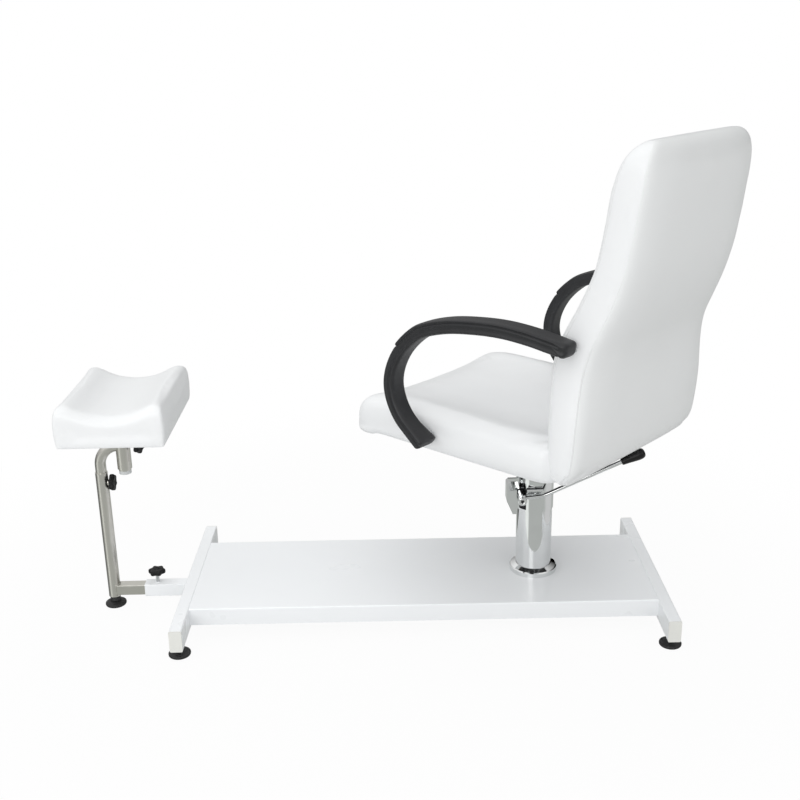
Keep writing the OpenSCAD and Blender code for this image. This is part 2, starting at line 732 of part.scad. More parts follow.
module plywood_shell() color("burlywood") at_seat() difference() {
    shell_solid();
    arm_bolt_cuts(arm_bolt_d);
    arm_bolt_heads(arm_bolt_head_d, arm_bolt_head_h);
    seat_bolt_places(seat_z - cut) cylinder(h = seat_bolt_grip - swivel_t + cut, d = seat_bolt_d);
}
module arm_bolts() color("silver") at_seat() {
    arm_bolt_cuts(arm_bolt_d);
    arm_bolt_heads(arm_bolt_head_d, arm_bolt_head_h);
}

function back_ring(row) = [for (p = whole(back_ring_share)) [
    back_front_at(row) + p[1] * (back_rear_at(row) - back_front_at(row)),
    -p[0] * row[3] * back_w / 2, back_w_at(row)]];
module back_body() skin([for (row = back_share) back_ring(row)]);

function seat_ring(row) = [for (p = whole(seat_ring_share)) [
    seat_front + row[0] * seat_l, p[0] * row[1] * seat_w / 2,
    seat_z + (row[2] + p[1] * (row[3] - row[2])) * seat_t]];
module seat_body() skin([for (row = seat_share) seat_ring(row)]);

// Everything behind the seam line
module behind_seam() {
    line = [for (row = back_share) [seam_u(row), back_w_at(row)]];
    top = line[len(line) - 1];
    far = back_front_x + 2 * back_lean;
    rotate([90, 0, 0]) linear_extrude(2 * back_w, center = true) polygon(concat(
        [[far, line[0][1] - cut], [line[0][0], line[0][1] - cut]], line,
        [[top[0], top[1] + cut], [far, top[1] + cut]]));
}
module back_cushion() color("white") at_seat() difference() {
    back_body();
    behind_seam();
    shell_solid();
    arm_bolt_cuts(arm_bolt_d);
    arm_bolt_heads(arm_bolt_head_d, arm_bolt_head_h);
}
module rear_cover() color("gainsboro") at_seat() difference() {
    intersection() {
        back_body();
        behind_seam();
    }
    shell_solid();
}
module seat_cushion() color("white") at_seat() difference() {
    seat_body();
    back_body();
    shell_solid();
    arm_bolt_cuts(arm_bolt_d);
    arm_bolt_heads(arm_bolt_head_d, arm_bolt_head_h);
    translate([shell_bend_x, -shell_back_half, seat_z - cut])
        cube([seat_l, 2 * shell_back_half, ply_t + shell_room]);
}
module dust_cover() color("black") at_seat() difference() {
    translate([seat_front + cover_front_share * seat_l, -seat_w / 2 + cover_inset, seat_z - cover_t])
        cube([(1 - cover_front_share) * seat_l - cover_inset, seat_w - 2 * cover_inset, cover_t]);
    translate([-swivel_l / 2 - cut, -swivel_w / 2 - cut, seat_z - cover_t - cut])
        cube([swivel_l + 2 * cut, swivel_w + 2 * cut, cover_t + 2 * cut]);
}

// Arms: the left arm lies at -Y, seen from the sitter
function arm_mid(s) = let (p = at(arm_share, s))
    [arm_front_x + p[0] * arm_l, seat_z + arm_low_z + p[1] * arm_h];
function arm_dir(s) = 
    let (e = arm_edge_share[0], a = arm_mid(max(s - e, 0)), b = arm_mid(min(s + e, 1)))
    (b - a) / norm(b - a);
// Outward normal of the loop, and the inner and outer face of the arm across the chair
function arm_out(s) = [-arm_dir(s)[1], arm_dir(s)[0]];
arm_gauge_in = arm_gauge / 2 - arm_w / 2;
function arm_outer_y(s) = arm_gauge_in + arm_w - at(arm_toe_share, s) * (arm_gauge_in - arm_tip_y);
function arm_inner_y(s) = max(
    arm_outer_y(s) - arm_w - (arm_gauge_in - arm_foot_y) * max(0, 1 - s / arm_foot_share),
    arm_foot_y * (s < arm_low_share ? 1 : 0));
// Ring of an arm at a place on its loop, between two depths, drawn in by a margin
function arm_ring(s, low, high, margin, grow) =
    let (mid = arm_mid(s), out = arm_out(s), a = arm_inner_y(s) + margin, b = arm_outer_y(s) - margin,
         v = (a + b) / 2, half = (b - a) / 2 + grow, lo = low + margin, hi = high - margin,
         corner = arm_corner_share * min(half, (hi - lo) / 2), edge = arm_bevel_share * corner)
    [for (q = [[-half, lo + corner], [-half, hi - corner], [-half + edge, hi - edge],
               [-half + corner, hi], [half - corner, hi], [half - edge, hi - edge],
               [half, hi - corner], [half, lo + corner], [half - edge, lo + edge],
               [half - corner, lo], [-half + corner, lo], [-half + edge, lo + edge]])
        [mid[0] + q[1] * out[0], v + q[0], mid[1] + q[1] * out[1]]];
// Margins that round the two ends of a piece that runs from place s0 to s1
function arm_places(s0, s1, count) = concat(
    [[s0, arm_end_margin], [s0 + arm_edge_share[0], arm_edge_margin]],
    [for (i = [1:count - 1]) [s0 + (s1 - s0) * i / count, 0]],
    [[s1 - arm_edge_share[1], arm_edge_margin], [s1, arm_end_margin]]);
module arm_frame() {
    skin([
        for (p = arm_places(0, arm_step_share, 18)) if (p[0] < arm_step_share - arm_clear_share)
            arm_ring(p[0], -arm_t / 2, arm_t / 2, p[1], 0),
        arm_ring(arm_step_share - arm_lap_share, -arm_t / 2, arm_t / 2, 0, 0),
        arm_ring(arm_step_share, -arm_t / 2, 0, 0, 0),
        for (p = arm_places(arm_step_share, 1, 24)) if (p[0] > arm_step_share + arm_clear_share)
            arm_ring(p[0], -arm_t / 2, 0, p[1], 0)]);
}
module arm_pad() skin([for (p = arm_places(arm_step_share, 1, 24))
    arm_ring(p[0], 0, arm_t / 2 + arm_pad_proud, arm_pad_margin_share * p[1], 0)]);
module arm_frame_right() color("black") at_seat() difference() {
    arm_frame();
    arm_bolt_cuts(arm_bolt_d);
}
module arm_frame_left() color("black") at_seat() difference() {
    mirror([0, 1, 0]) arm_frame();
    arm_bolt_cuts(arm_bolt_d);
}
module arm_pad_right() color("#222222") at_seat() difference() {
    arm_pad();
    arm_bolt_cuts(arm_bolt_d);
}
module arm_pad_left() color("#222222") at_seat() difference() {
    mirror([0, 1, 0]) arm_pad();
    arm_bolt_cuts(arm_bolt_d);
}

// Lever: hub, elbow and straight rod in one, in the plane of the hub's front half
rod_y = hub_front + rod_inset;
elbow_start = [hub_x + elbow_l * cos(hub_rise), hub_z + rod_step + elbow_l * sin(hub_rise)];
elbow_mid = elbow_start + elbow_r * [-sin(hub_rise), cos(hub_rise)];
elbow_end = elbow_mid + elbow_r * [sin(lever_rise), -cos(lever_rise)];
module along_rod() {
    at_column() translate([elbow_end[0], rod_y, elbow_end[1]]) rotate([0, 90 - lever_rise, 0])
        children();
}
module pump_lever() color("silver") {
    at_column() difference() {
        union() {
            translate([hub_x, hub_front + hub_l, hub_z]) rotate([90, 0, 0])
                cylinder(h = hub_l, d = hub_d);
            translate([hub_x, rod_y, hub_z + rod_step]) rotate([0, 90 - hub_rise, 0])
                translate([0, 0, rod_start]) cylinder(h = elbow_l - rod_start + cut, d = lever_d);
        }
        translate([hub_x, hub_front + hub_l + cut, hub_z]) rotate([90, 0, 0])
            cylinder(h = hub_l + 2 * cut, d = pin_d + 2 * run_gap);
    }
    at_column() translate([elbow_mid[0], rod_y, elbow_mid[1]]) rotate([90, 0, 0])
        rotate([0, 0, hub_rise - 90]) rotate_extrude(angle = lever_rise - hub_rise)
        translate([elbow_r, 0]) circle(d = lever_d + 2 * run_gap);
    along_rod() translate([0, 0, -cut]) cylinder(h = lever_l + cut, d = lever_d);
}
module lever_grip() color("black") along_rod() translate([0, 0, lever_l - grip_l / 2]) difference() {
    rotate_extrude() polygon([for (p = grip_share) [p[0] * grip_d, p[1] * grip_l]]);
    translate([0, 0, -cut]) cylinder(h = grip_l / 2 + cut, d = lever_d);
}

// Foot rest
module slide_tube() color("silver") placed() difference() {
    translate([upright_x, 0, socket_mid_z])
        box_tube(reach + slide_lap, slide_w, slide_w, slide_wall, slide_wall);
    translate([upright_x, 0, 0]) cylinder(h = upright_top, d = upright_d);
}
module slide_plug() color("black") placed()
    translate([upright_x + reach + slide_lap - plug_l, 0, socket_mid_z]) rotate([90, 0, 90]) {
        linear_extrude(plug_l)
            round_rect(slide_w - 2 * slide_wall, slide_w - 2 * slide_wall, slide_wall / 2);
        translate([0, 0, plug_l]) linear_extrude(plug_t) round_rect(slide_w, slide_w, slide_wall);
    }
module upright_tube() color("silver") placed() translate([upright_x, 0, 0]) difference() {
    union() {
        translate([0, 0, ground_gap]) cylinder(h = upright_top - ground_gap, d = upright_d);
        translate([0, 0, height_knob_z]) rotate([0, 90, 0])
            cylinder(h = upright_d / 2 + nut_h - slide_gap, d = nut_d);
    }
    translate([0, 0, ground_gap + insert_h])
        cylinder(h = upright_top, d = upright_d - 2 * upright_wall);
    translate([0, 0, ground_gap - cut]) cylinder(h = insert_h + 2 * cut, d = foot_stem_d + 2 * run_gap);
    translate([0, 0, height_knob_z]) rotate([0, 90, 0])
        cylinder(h = upright_d, d = knob_screw_d + 2 * run_gap);
}
module gooseneck_tube() color("silver") placed() translate([upright_x, 0, 0]) difference() {
    union() {
        translate([0, 0, neck_low]) ring(neck_d, neck_d - 2 * neck_wall, neck_bend_z - neck_low);
        translate([neck_r, 0, neck_bend_z]) rotate([90, 0, 0]) rotate([0, 0, 90])
            rotate_extrude(angle = 90) translate([neck_r, 0]) difference() {
                circle(d = neck_d);
                circle(d = neck_d - 2 * neck_wall);
            }
    }
    translate([post_offset, 0, 0]) cylinder(h = pad_z, d = post_d + 2 * run_gap + 2 * sleeve_wall);
}
module pad_sleeve() color("silver") placed() translate([post_x, 0, 0]) difference() {
    union() {
        translate([0, 0, sleeve_low]) cylinder(h = sleeve_h, d = post_d + 2 * run_gap + 2 * sleeve_wall);
        translate([0, 0, turn_knob_z]) rotate([0, 90, turn_angle])
            cylinder(h = post_d / 2 + sleeve_wall + nut_h, d = nut_d);
    }
    translate([0, 0, sleeve_low - cut]) cylinder(h = sleeve_h + 2 * cut, d = post_d + 2 * run_gap);
    translate([0, 0, turn_knob_z]) rotate([0, 90, turn_angle])
        cylinder(h = post_d, d = knob_screw_d + 2 * run_gap);
}
module pad_post() color("silver") placed() translate([post_x, 0, post_low])
    ring(post_d, post_d - 2 * post_wall, pad_z - pad_plate_t - post_low);
module post_plug() color("white") placed() translate([post_x, 0, post_low]) {
    translate([0, 0, -post_cap_h]) cylinder(h = post_cap_h, d = post_d - 2 * post_cap_inset);
    cylinder(h = post_cap_plug, d = post_d - 2 * post_wall);
}
module pad_screw_places(z) {
    for (x = [-pad_screw_x, pad_screw_x], y = [-pad_screw_y, pad_screw_y])
        translate([x, y, z]) children();
}
module at_pad() placed() translate([post_x + pad_offset, 0, 0]) children();
module pad_plate() color("gray") at_pad() difference() {
    translate([-pad_plate_l / 2, -pad_plate_w / 2, pad_z - pad_plate_t])
        cube([pad_plate_l, pad_plate_w, pad_plate_t]);
    pad_screw_places(pad_z - pad_plate_t - cut)
        cylinder(h = pad_plate_t + 2 * cut, d = pad_screw_d + 2 * bolt_gap);
}
module pad_board() color("burlywood") at_pad() difference() {
    translate([-pad_board_l / 2, -pad_board_w / 2, pad_z]) cube([pad_board_l, pad_board_w, pad_board_t]);
    pad_screw_places(pad_z - cut) cylinder(h = pad_screw_grip - pad_plate_t + cut, d = pad_screw_d);
}
module pad_screws() color("silver") at_pad() pad_screw_places(pad_z - pad_plate_t) {
    cylinder(h = pad_screw_grip, d = pad_screw_d);
    translate([0, 0, -pad_screw_head_h]) cylinder(h = pad_screw_head_h, d = pad_screw_head_d);
}
function pad_ring(row) = [for (p = whole(pad_ring_share)) [
    -p[0] * row[1] * pad_l / 2, row[0] * pad_w / 2,
    pad_z + (row[2] + p[1] * (row[3] - row[2])) * pad_h]];
module pad_cushion() color("white") at_pad() difference() {
    skin([for (row = pad_share) pad_ring(row)]);
    translate([-pad_board_l / 2, -pad_board_w / 2, pad_z - cut])
        cube([pad_board_l, pad_board_w, pad_board_t + cut]);
}

// Clamp knobs: each stands on its own +Z, with its screw's tip at the bottom
module at_reach_knob() placed() translate([reach_knob_x, 0, 0]) children();
module at_height_knob() placed() translate([upright_x, 0, height_knob_z]) rotate([0, 90, 0]) children();
module at_turn_knob() placed() translate([post_x, 0, turn_knob_z]) rotate([0, 90, turn_angle]) children();
module knob(z) difference() {
    translate([0, 0, z]) {
        linear_extrude(knob_t) union() {
            circle(d = knob_core_share * knob_d);
            for (a = [0:360 / knob_lobes:359]) rotate(a) translate([knob_lobe_place_share * knob_d, 0])
                circle(d = knob_lobe_share * knob_d);
        }
        translate([0, 0, -knob_hub_h]) cylinder(h = knob_hub_h, d = knob_hub_d);
    }
    translate([0, 0, z - knob_hub_h - cut]) cylinder(h = knob_t + cut, d = knob_screw_d);
}
module knob_screw(tip, z) translate([0, 0, tip])
    cylinder(h = z - knob_hub_h + knob_t - tip, d = knob_screw_d);
reach_tip = socket_mid_z + slide_w / 2 + soft_gap;
height_knob_r = upright_d / 2 + nut_h + knob_hub_h + soft_gap;
height_tip = neck_d / 2 + soft_gap;
turn_tip = post_d / 2 + soft_gap;
module reach_knob() color("black") at_reach_knob() knob(reach_knob_z);
module reach_screw() color("silver") at_reach_knob() knob_screw(reach_tip, reach_knob_z);
module height_knob() color("black") at_height_knob() knob(height_knob_r);
module height_screw() color("silver") at_height_knob() knob_screw(height_tip, height_knob_r);
module turn_knob() color("black") at_turn_knob() knob(turn_knob_r);
module turn_screw() color("silver") at_turn_knob() knob_screw(turn_tip, turn_knob_r);

deck_panel();
front_rail();
rear_rail();
rail_end_caps();
socket_tube();
foot_inserts();
pump_plate();
pump_bolts();
column_ring();
pump_column();
pump_head();
oil_cylinder();
ram_gland();
lever_bracket();
lever_pin();
foot_disc(1);  // foot_disc_1
foot_stem(1);  // foot_stem_1
foot_disc(2);  // foot_disc_2
foot_stem(2);  // foot_stem_2
foot_disc(3);  // foot_disc_3
foot_stem(3);  // foot_stem_3
foot_disc(4);  // foot_disc_4
foot_stem(4);  // foot_stem_4
foot_disc(5);  // foot_disc_5
foot_stem(5);  // foot_stem_5
ram_rod();
ram_piston();
piston_seal();
thrust_washer();
swivel_plate();
seat_bolts();
plywood_shell();
seat_cushion();
dust_cover();
back_cushion();
rear_cover();
arm_frame_left();
arm_frame_right();
arm_pad_left();
arm_pad_right();
arm_bolts();
pump_lever();
lever_grip();
slide_tube();
upright_tube();
slide_plug();
gooseneck_tube();
pad_sleeve();
pad_post();
post_plug();
pad_plate();
pad_board();
pad_cushion();
pad_screws();
reach_knob();
reach_screw();
height_knob();
height_screw();
turn_knob();
turn_screw();
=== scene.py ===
# %% [markdown]
# # A pedicure chair in white leatherette, chrome and white enamel
#
# The chair stands on a flat steel base. A chrome pump carries the seat, two black loop
# arms hold the sitter in, and a small padded foot rest stands on a steel post at the
# front. The solids, their sizes and their joints come from the CAD model, which is
# loaded here as a fixed frame. This notebook adds what a solid model can't show: padded
# leatherette with its seams, rounded plastic, threads and welds, and the finishes.

# %% Load the frame
import json
import math

import bmesh
import bpy
from mathutils import Matrix, Vector
from mathutils.bvhtree import BVHTree


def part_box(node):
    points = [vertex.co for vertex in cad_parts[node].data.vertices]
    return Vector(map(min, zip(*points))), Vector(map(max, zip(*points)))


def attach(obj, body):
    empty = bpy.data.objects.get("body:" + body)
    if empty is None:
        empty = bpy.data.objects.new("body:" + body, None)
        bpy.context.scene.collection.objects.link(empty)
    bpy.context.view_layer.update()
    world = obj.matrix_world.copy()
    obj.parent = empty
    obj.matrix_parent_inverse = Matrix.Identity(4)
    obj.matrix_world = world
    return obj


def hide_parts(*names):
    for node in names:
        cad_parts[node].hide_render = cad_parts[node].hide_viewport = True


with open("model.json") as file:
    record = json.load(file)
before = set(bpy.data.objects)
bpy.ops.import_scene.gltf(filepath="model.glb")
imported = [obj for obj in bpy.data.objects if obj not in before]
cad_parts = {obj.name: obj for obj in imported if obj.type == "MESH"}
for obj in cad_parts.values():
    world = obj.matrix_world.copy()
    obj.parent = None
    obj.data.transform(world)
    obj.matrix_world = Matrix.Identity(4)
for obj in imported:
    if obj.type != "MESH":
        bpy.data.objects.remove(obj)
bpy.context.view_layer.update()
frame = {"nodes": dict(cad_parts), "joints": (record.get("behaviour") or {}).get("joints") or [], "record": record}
nodes = frame["nodes"]
joints = {joint["name"]: joint for joint in frame["joints"]}

# %% [markdown]
# Everything is placed from the CAD model's own axes. The seat turns about the pump's
# column, and it is stored turned to the sitter's right, so the seat, the back and the
# arms are drawn in a frame of their own: +X runs to the rear of the chair, +Y to the
# sitter's right. The base has a second frame, whose zero is the middle of the deck.

# %% Frames of the base and the seat
COLUMN_X = 0.262
SEAT_TURN = math.radians(43)
column = Vector(joints["seat_turn"]["pos_m"])
base_frame = Matrix.Translation((column.x - COLUMN_X, column.y, 0))
seat_frame = Matrix.Translation((column.x, column.y, 0)) @ Matrix.Rotation(-SEAT_TURN, 4, "Z")
print("column at", [round(c, 4) for c in column[:2]])

# %% [markdown]
# The camera stands where the photograph was taken: in front of the long side of the base,
# about head high and looking down. Its place and its small roll were worked out from the
# straight edges of the deck, so the render can be laid over the photograph.

# %% Camera
YAW, PITCH, ROLL = (math.radians(angle) for angle in (0.255, 19.085, -1.043))
CAMERA_PLACE, LENS, SENSOR = Vector((-0.0545, -2.3066, 1.2973)), 49.16, 36
sight = Vector((math.sin(YAW) * math.cos(PITCH), math.cos(YAW) * math.cos(PITCH), -math.sin(PITCH)))
level = Vector((math.cos(YAW), -math.sin(YAW), 0))
upright = level.cross(sight)
right = level * math.cos(ROLL) + upright * math.sin(ROLL)
up = upright * math.cos(ROLL) - level * math.sin(ROLL)
camera = bpy.data.objects.new("camera", bpy.data.cameras.new("camera"))
camera.matrix_world = Matrix.Translation(base_frame @ CAMERA_PLACE) @ Matrix(
    (right, up, -sight)).transposed().to_4x4()
camera.data.lens, camera.data.sensor_width = LENS, SENSOR
bpy.context.scene.collection.objects.link(camera)
bpy.context.scene.camera = camera
print("camera lens", camera.data.lens, "mm")

# %% [markdown]
# Shader maths reads better as plain expressions. This small class wraps one socket of a
# node, so that `1 - mask` or `grain * 0.3` adds the Math node that does it. Any other
# node comes from `Shader.node`, which takes its type, its settings and its inputs.


# %% A class for shader maths
class Value:
    def __init__(self, shader, socket):
        self.shader, self.socket = shader, socket

    def maths(self, operation, *others, first=None):
        inputs = [self if first is None else first, *others]
        return self.shader.node("Math", {"operation": operation}, dict(enumerate(inputs)))

    def __add__(self, other): return self.maths("ADD", other)
    def __radd__(self, other): return self.maths("ADD", other)
    def __sub__(self, other): return self.maths("SUBTRACT", other)
    def __rsub__(self, other): return self.maths("SUBTRACT", self, first=other)
    def __mul__(self, other): return self.maths("MULTIPLY", other)
    def __rmul__(self, other): return self.maths("MULTIPLY", other)
    def __truediv__(self, other): return self.maths("DIVIDE", other)
    def __pow__(self, other): return self.maths("POWER", other)
    def most(self, other): return self.maths("MAXIMUM", other)

    def band(self, low, high):
        """0 below low, 1 above high, smooth between."""
        return self.shader.node("MapRange", {"interpolation_type": "SMOOTHSTEP"}, {
            "Value": self, "From Min": low, "From Max": high})


class Shader:
    def __init__(self, name, world=None):
        self.owner = world or bpy.data.materials.new(name)
        self.owner.use_nodes = True
        self.tree = self.owner.node_tree
        self.tree.nodes.clear()

    def node(self, kind, settings=None, inputs=None, output=0):
        made = self.tree.nodes.new("ShaderNode" + kind)
        for key, value in (settings or {}).items():
            setattr(made, key, value)
        for key, value in (inputs or {}).items():
            if isinstance(value, Value):
                self.tree.links.new(value.socket, made.inputs[key])
            else:
                made.inputs[key].default_value = value
        return Value(self, made.outputs[output])

    def place(self, stretch=(1, 1, 1)):
        """Object coordinates in metres, stretched along the axes."""
        here = self.node("TexCoord", output=3)
        return self.node("Mapping", None, {"Vector": here, "Scale": stretch})

    def noise(self, scale, detail=3, stretch=(1, 1, 1), roughness=0.5):
        return self.node("TexNoise", None, {
            "Vector": self.place(stretch), "Scale": scale, "Detail": detail, "Roughness": roughness})

    def cells(self, scale, feature="F1"):
        return self.node("TexVoronoi", {"feature": feature}, {
            "Vector": self.place(), "Scale": scale})

    def tint(self, amount, one, other):
        """Mixes two colours, each of them three numbers or a Value."""
        first, last = [hue if isinstance(hue, Value) else (*hue, 1) for hue in (one, other)]
        return self.node("Mix", {"data_type": "RGBA"}, {0: amount, 6: first, 7: last}, output=2)

    def axis(self, vector, name):
        return self.node("SeparateXYZ", None, {0: vector}, output=name)

    def length(self, vector):
        return self.node("VectorMath", {"operation": "LENGTH"}, {0: vector}, output="Value")

    def bump(self, height, strength):
        """A bump whose height is in metres."""
        return self.node("Bump", None, {"Height": height, "Distance": 1.0, "Strength": strength})

    def surface(self, inputs):
        return self.finish(self.node("BsdfPrincipled", None, inputs))

    def finish(self, lit, kind="OutputMaterial"):
        ending = self.tree.nodes.new("ShaderNode" + kind)
        self.tree.links.new(lit.socket, ending.inputs["Surface"])
        return self.owner


print("shader maths ready")

# %% [markdown]
# The photograph has a pure white background and soft, nearly shadowless light that comes
# from above and from the left. The world is a pale grey, brighter overhead and dimmer to
# the right and behind the chair. Only the camera sees it as plain white. Metal mirrors it
# a little darker than it shines, so that chrome has its greys.

# %% Sky
AMBIENT, FROM_ABOVE, SHADE_AT_RIGHT, MIRROR_DIM = 0.63, 0.52, 0.60, 0.12
sky = bpy.data.worlds.new("studio")
bpy.context.scene.world = sky
air = Shader("studio", world=sky)
seen, mirrored, through = (air.node("LightPath", output=f"Is {kind} Ray")
                           for kind in ("Camera", "Glossy", "Transmission"))
way = air.node("TexCoord", output="Generated")
to_x, to_y, height = (air.axis(way, name) for name in "XYZ")
rightward = to_x + to_y * 0.7
ambient = AMBIENT + height.band(0.05, 0.8) * FROM_ABOVE - rightward.band(0.4, 1.1) * SHADE_AT_RIGHT
plain = seen.most(through)
open_sky = plain + (1 - plain) * (ambient - mirrored * MIRROR_DIM)
print("sky ready")

# %% [markdown]
# Upright tubes are seen from above, so they mirror what lies below them. The paper floor
# hides itself from reflections, and this half of the world takes its place there: a grey
# studio floor, with a bright strip at the left, a dark part behind it and a pale gleam at
# the right. That is what draws the long lines down polished tubes.

# %% Studio floor in reflections
STUDIO_GREY, STRIP_LIGHT, DARK_SHADE, GLEAM_LIGHT = 0.52, 0.50, 0.34, 0.16
run = (to_x * to_x + to_y * to_y) ** 0.5
side_x, side_y = to_x / run, to_y / run
leftward = 0 - side_x
strip = leftward.band(0.62, 0.72) * (1 - leftward.band(0.88, 0.95)) * (1 - side_y.band(-0.3, 0.0))
dark = leftward.band(0.35, 0.7) * side_y.band(-0.35, 0.05)
gleam = side_x.band(0.80, 0.97)
studio_floor = STUDIO_GREY + strip * STRIP_LIGHT - dark * DARK_SHADE + gleam * GLEAM_LIGHT
below = mirrored * (1 - height.band(-0.001, 0.0)) * (1 - plain)
air.finish(air.node("Background", None, {
    "Color": air.tint(below * (1 - gleam), (1, 1, 1), (0.97, 1.0, 0.97)),
    "Strength": open_sky * (1 - below) + studio_floor * below}), "OutputWorld")
bpy.context.scene.view_settings.view_transform = "Standard"
print("world ready")

# %% [markdown]
# Two lamps help the sky. A weak one stands high on the left, in front of the chair, and a
# stronger one lights it from the front. Both are large, so the shadows stay soft and pale.

# %% Lamps
LIT_SPOT = Vector((0.1, 0, 0.5))


def lamp(name, place, size, power):
    light = bpy.data.lights.new(name, "AREA")
    light.shape, light.size, light.size_y, light.energy = "RECTANGLE", size, size, power
    holder = bpy.data.objects.new(name, light)
    holder.location = place
    holder.rotation_euler = (LIT_SPOT - Vector(place)).to_track_quat("-Z", "Y").to_euler()
    bpy.context.scene.collection.objects.link(holder)


lamp("key", (-2.6, -2.0, 2.3), 2.2, 8)
lamp("front", (-0.9, -3.3, 1.5), 1.6, 22)
print("lamps ready")

# %% [markdown]
# The floor is a sheet of white paper. The camera sees it almost as white as the backdrop,
# with only a hint of the chair's shadow, and the hint fades out with distance, so that no
# horizon shows.

# %% Floor
FLOOR_SIZE, PAPER, NEAR_WHITE = 12, 0.72, 0.95
floor_mesh = bmesh.new()
bmesh.ops.create_grid(floor_mesh, x_segments=1, y_segments=1, size=FLOOR_SIZE)
floor_data = bpy.data.meshes.new("floor")
floor_mesh.to_mesh(floor_data)
floor_mesh.free()
floor = bpy.data.objects.new("floor", floor_data)
bpy.context.scene.collection.objects.link(floor)
floor.visible_glossy = False
ground = Shader("floor")
paper = ground.node("BsdfDiffuse", None, {"Color": (PAPER, PAPER, PAPER, 1)})
white = ground.node("Emission", None, {"Color": (1, 1, 1, 1), "Strength": 1.0})
seen_white = NEAR_WHITE + ground.length(ground.place()).band(0.7, 1.5) * (1 - NEAR_WHITE)
share = ground.node("LightPath", output="Is Camera Ray") * seen_white
ground.finish(ground.node("MixShader", None, {0: share, 1: paper, 2: white}))
floor_data.materials.append(ground.owner)
print("floor ready")

# %% [markdown]
# White leatherette is a coated cloth: even in colour, with a fine pebble grain pressed
# into a semi-gloss skin. Two sizes of cells make the pebbles, and broad noise varies the
# gloss a little where hands and legs have rubbed it. A slow wave in the bump is the slight
# slack of the skin over its foam.


# %% Leatherette
GRAIN_DEPTH, PULL_DEPTH = 0.0001, 0.0011


def leatherette(name, colour, shadow, rough):
    skin = Shader(name)
    pebbles = skin.cells(850, feature="SMOOTH_F1")
    fine = skin.cells(1900)
    broad = skin.noise(5, 4)
    wear = skin.noise(34, 3)
    grain = pebbles * 0.7 + fine * 0.3
    pull = skin.noise(16, 2, (1.0, 1.0, 2.6))
    return skin.surface({
        "Base Color": skin.tint(broad.band(0.35, 0.75) * 0.6, colour, shadow),
        "Roughness": rough + wear * 0.10 - broad * 0.05,
        "Coat Weight": 0.12, "Coat Roughness": 0.28, "Specular IOR Level": 0.42,
        "Normal": skin.bump(grain * GRAIN_DEPTH + pull * PULL_DEPTH, 0.55)})


white_vinyl = leatherette("white_vinyl", (0.855, 0.868, 0.875), (0.83, 0.845, 0.855), 0.36)
# The welts' vinyl is painted a little darker than the skin, as painted shade along the seams.
welt_vinyl_painted_shade = leatherette("welt_vinyl_painted_shade", (0.81, 0.82, 0.825), (0.79, 0.80, 0.81), 0.40)
cover_vinyl = leatherette("cover_vinyl", (0.84, 0.855, 0.855), (0.815, 0.83, 0.83), 0.36)
print("leatherette ready")

# %% [markdown]
# The base is powder coated. Such enamel is glossy, but it dries with a faint orange peel,
# and the photograph shows a soft reflection of the column in it.


# %% Enamel, plastic and rubber
def enamel(name, colour, rough):
    paint = Shader(name)
    peel = paint.noise(420, 2)
    cloud = paint.noise(7, 3)
    return paint.surface({
        "Base Color": paint.tint(cloud, colour, [c * 0.975 for c in colour]),
        "Roughness": rough + cloud * 0.04,
        "Coat Weight": 0.25, "Coat Roughness": 0.16,
        "Normal": paint.bump(peel * 0.00004, 0.5)})


def moulded(name, colour, rough, grain=0.00005, size=1500, gloss=0.5):
    """Plastic or paint. Dark ones are rubbed paler in clouds, pale ones are dulled."""
    worn = 1.25 if max(colour) < 0.2 else 0.975
    plastic = Shader(name)
    texture = plastic.cells(size)
    cloud = plastic.noise(40, 3)
    edge = plastic.noise(260, 4)
    return plastic.surface({
        "Base Color": plastic.tint(cloud.band(0.35, 0.75), colour, [c * worn for c in colour]),
        "Roughness": rough + cloud * 0.08 + edge * 0.05,
        "Specular IOR Level": gloss,
        "Normal": plastic.bump(texture * grain, 0.7)})


white_enamel = enamel("white_enamel", (0.925, 0.945, 0.96), 0.26)
cap_plastic = moulded("cap_plastic", (0.78, 0.785, 0.745), 0.40, 0.00002)
arm_plastic = moulded("arm_plastic", (0.016, 0.0165, 0.0185), 0.40, 0.00006, 1300, 0.45)
knob_plastic = moulded("knob_plastic", (0.006, 0.006, 0.0065), 0.42, 0.00005, 1700, 0.3)
grip_plastic = moulded("grip_plastic", (0.004, 0.004, 0.0045), 0.26, 0.00001, 900, 0.35)
foot_rubber = moulded("foot_rubber", (0.012, 0.012, 0.0125), 0.50, 0.00006, 1100)
seal_rubber = moulded("seal_rubber", (0.02, 0.02, 0.02), 0.55)
clear_plug = moulded("clear_plug", (0.62, 0.64, 0.64), 0.32, 0.00002)
print("enamel and plastics ready")

# %% [markdown]
# Three metals show: polished chrome on the pump, satin stainless steel on the foot rest's
# tubes, and zinc on the screws. Satin tube is brushed along its length, so its grain is a
# noise that is squeezed across the tube and drawn out along it. Inside the pump head the
# metal is painted near black as shade, which shows in the window round the lever's hub.


# %% Metals
# The near black colour here is painted shade, for the inside of the pump head.
CHROME, PAINTED_SHADE, EDGE = (0.78, 0.79, 0.79), (0.03, 0.03, 0.032), 0.0005
SMUDGE, BRUSH_DEPTH, HEAD_BORE_R, SHADE_FROM_Z = 0.05, 0.00003, 0.0420, 0.2372


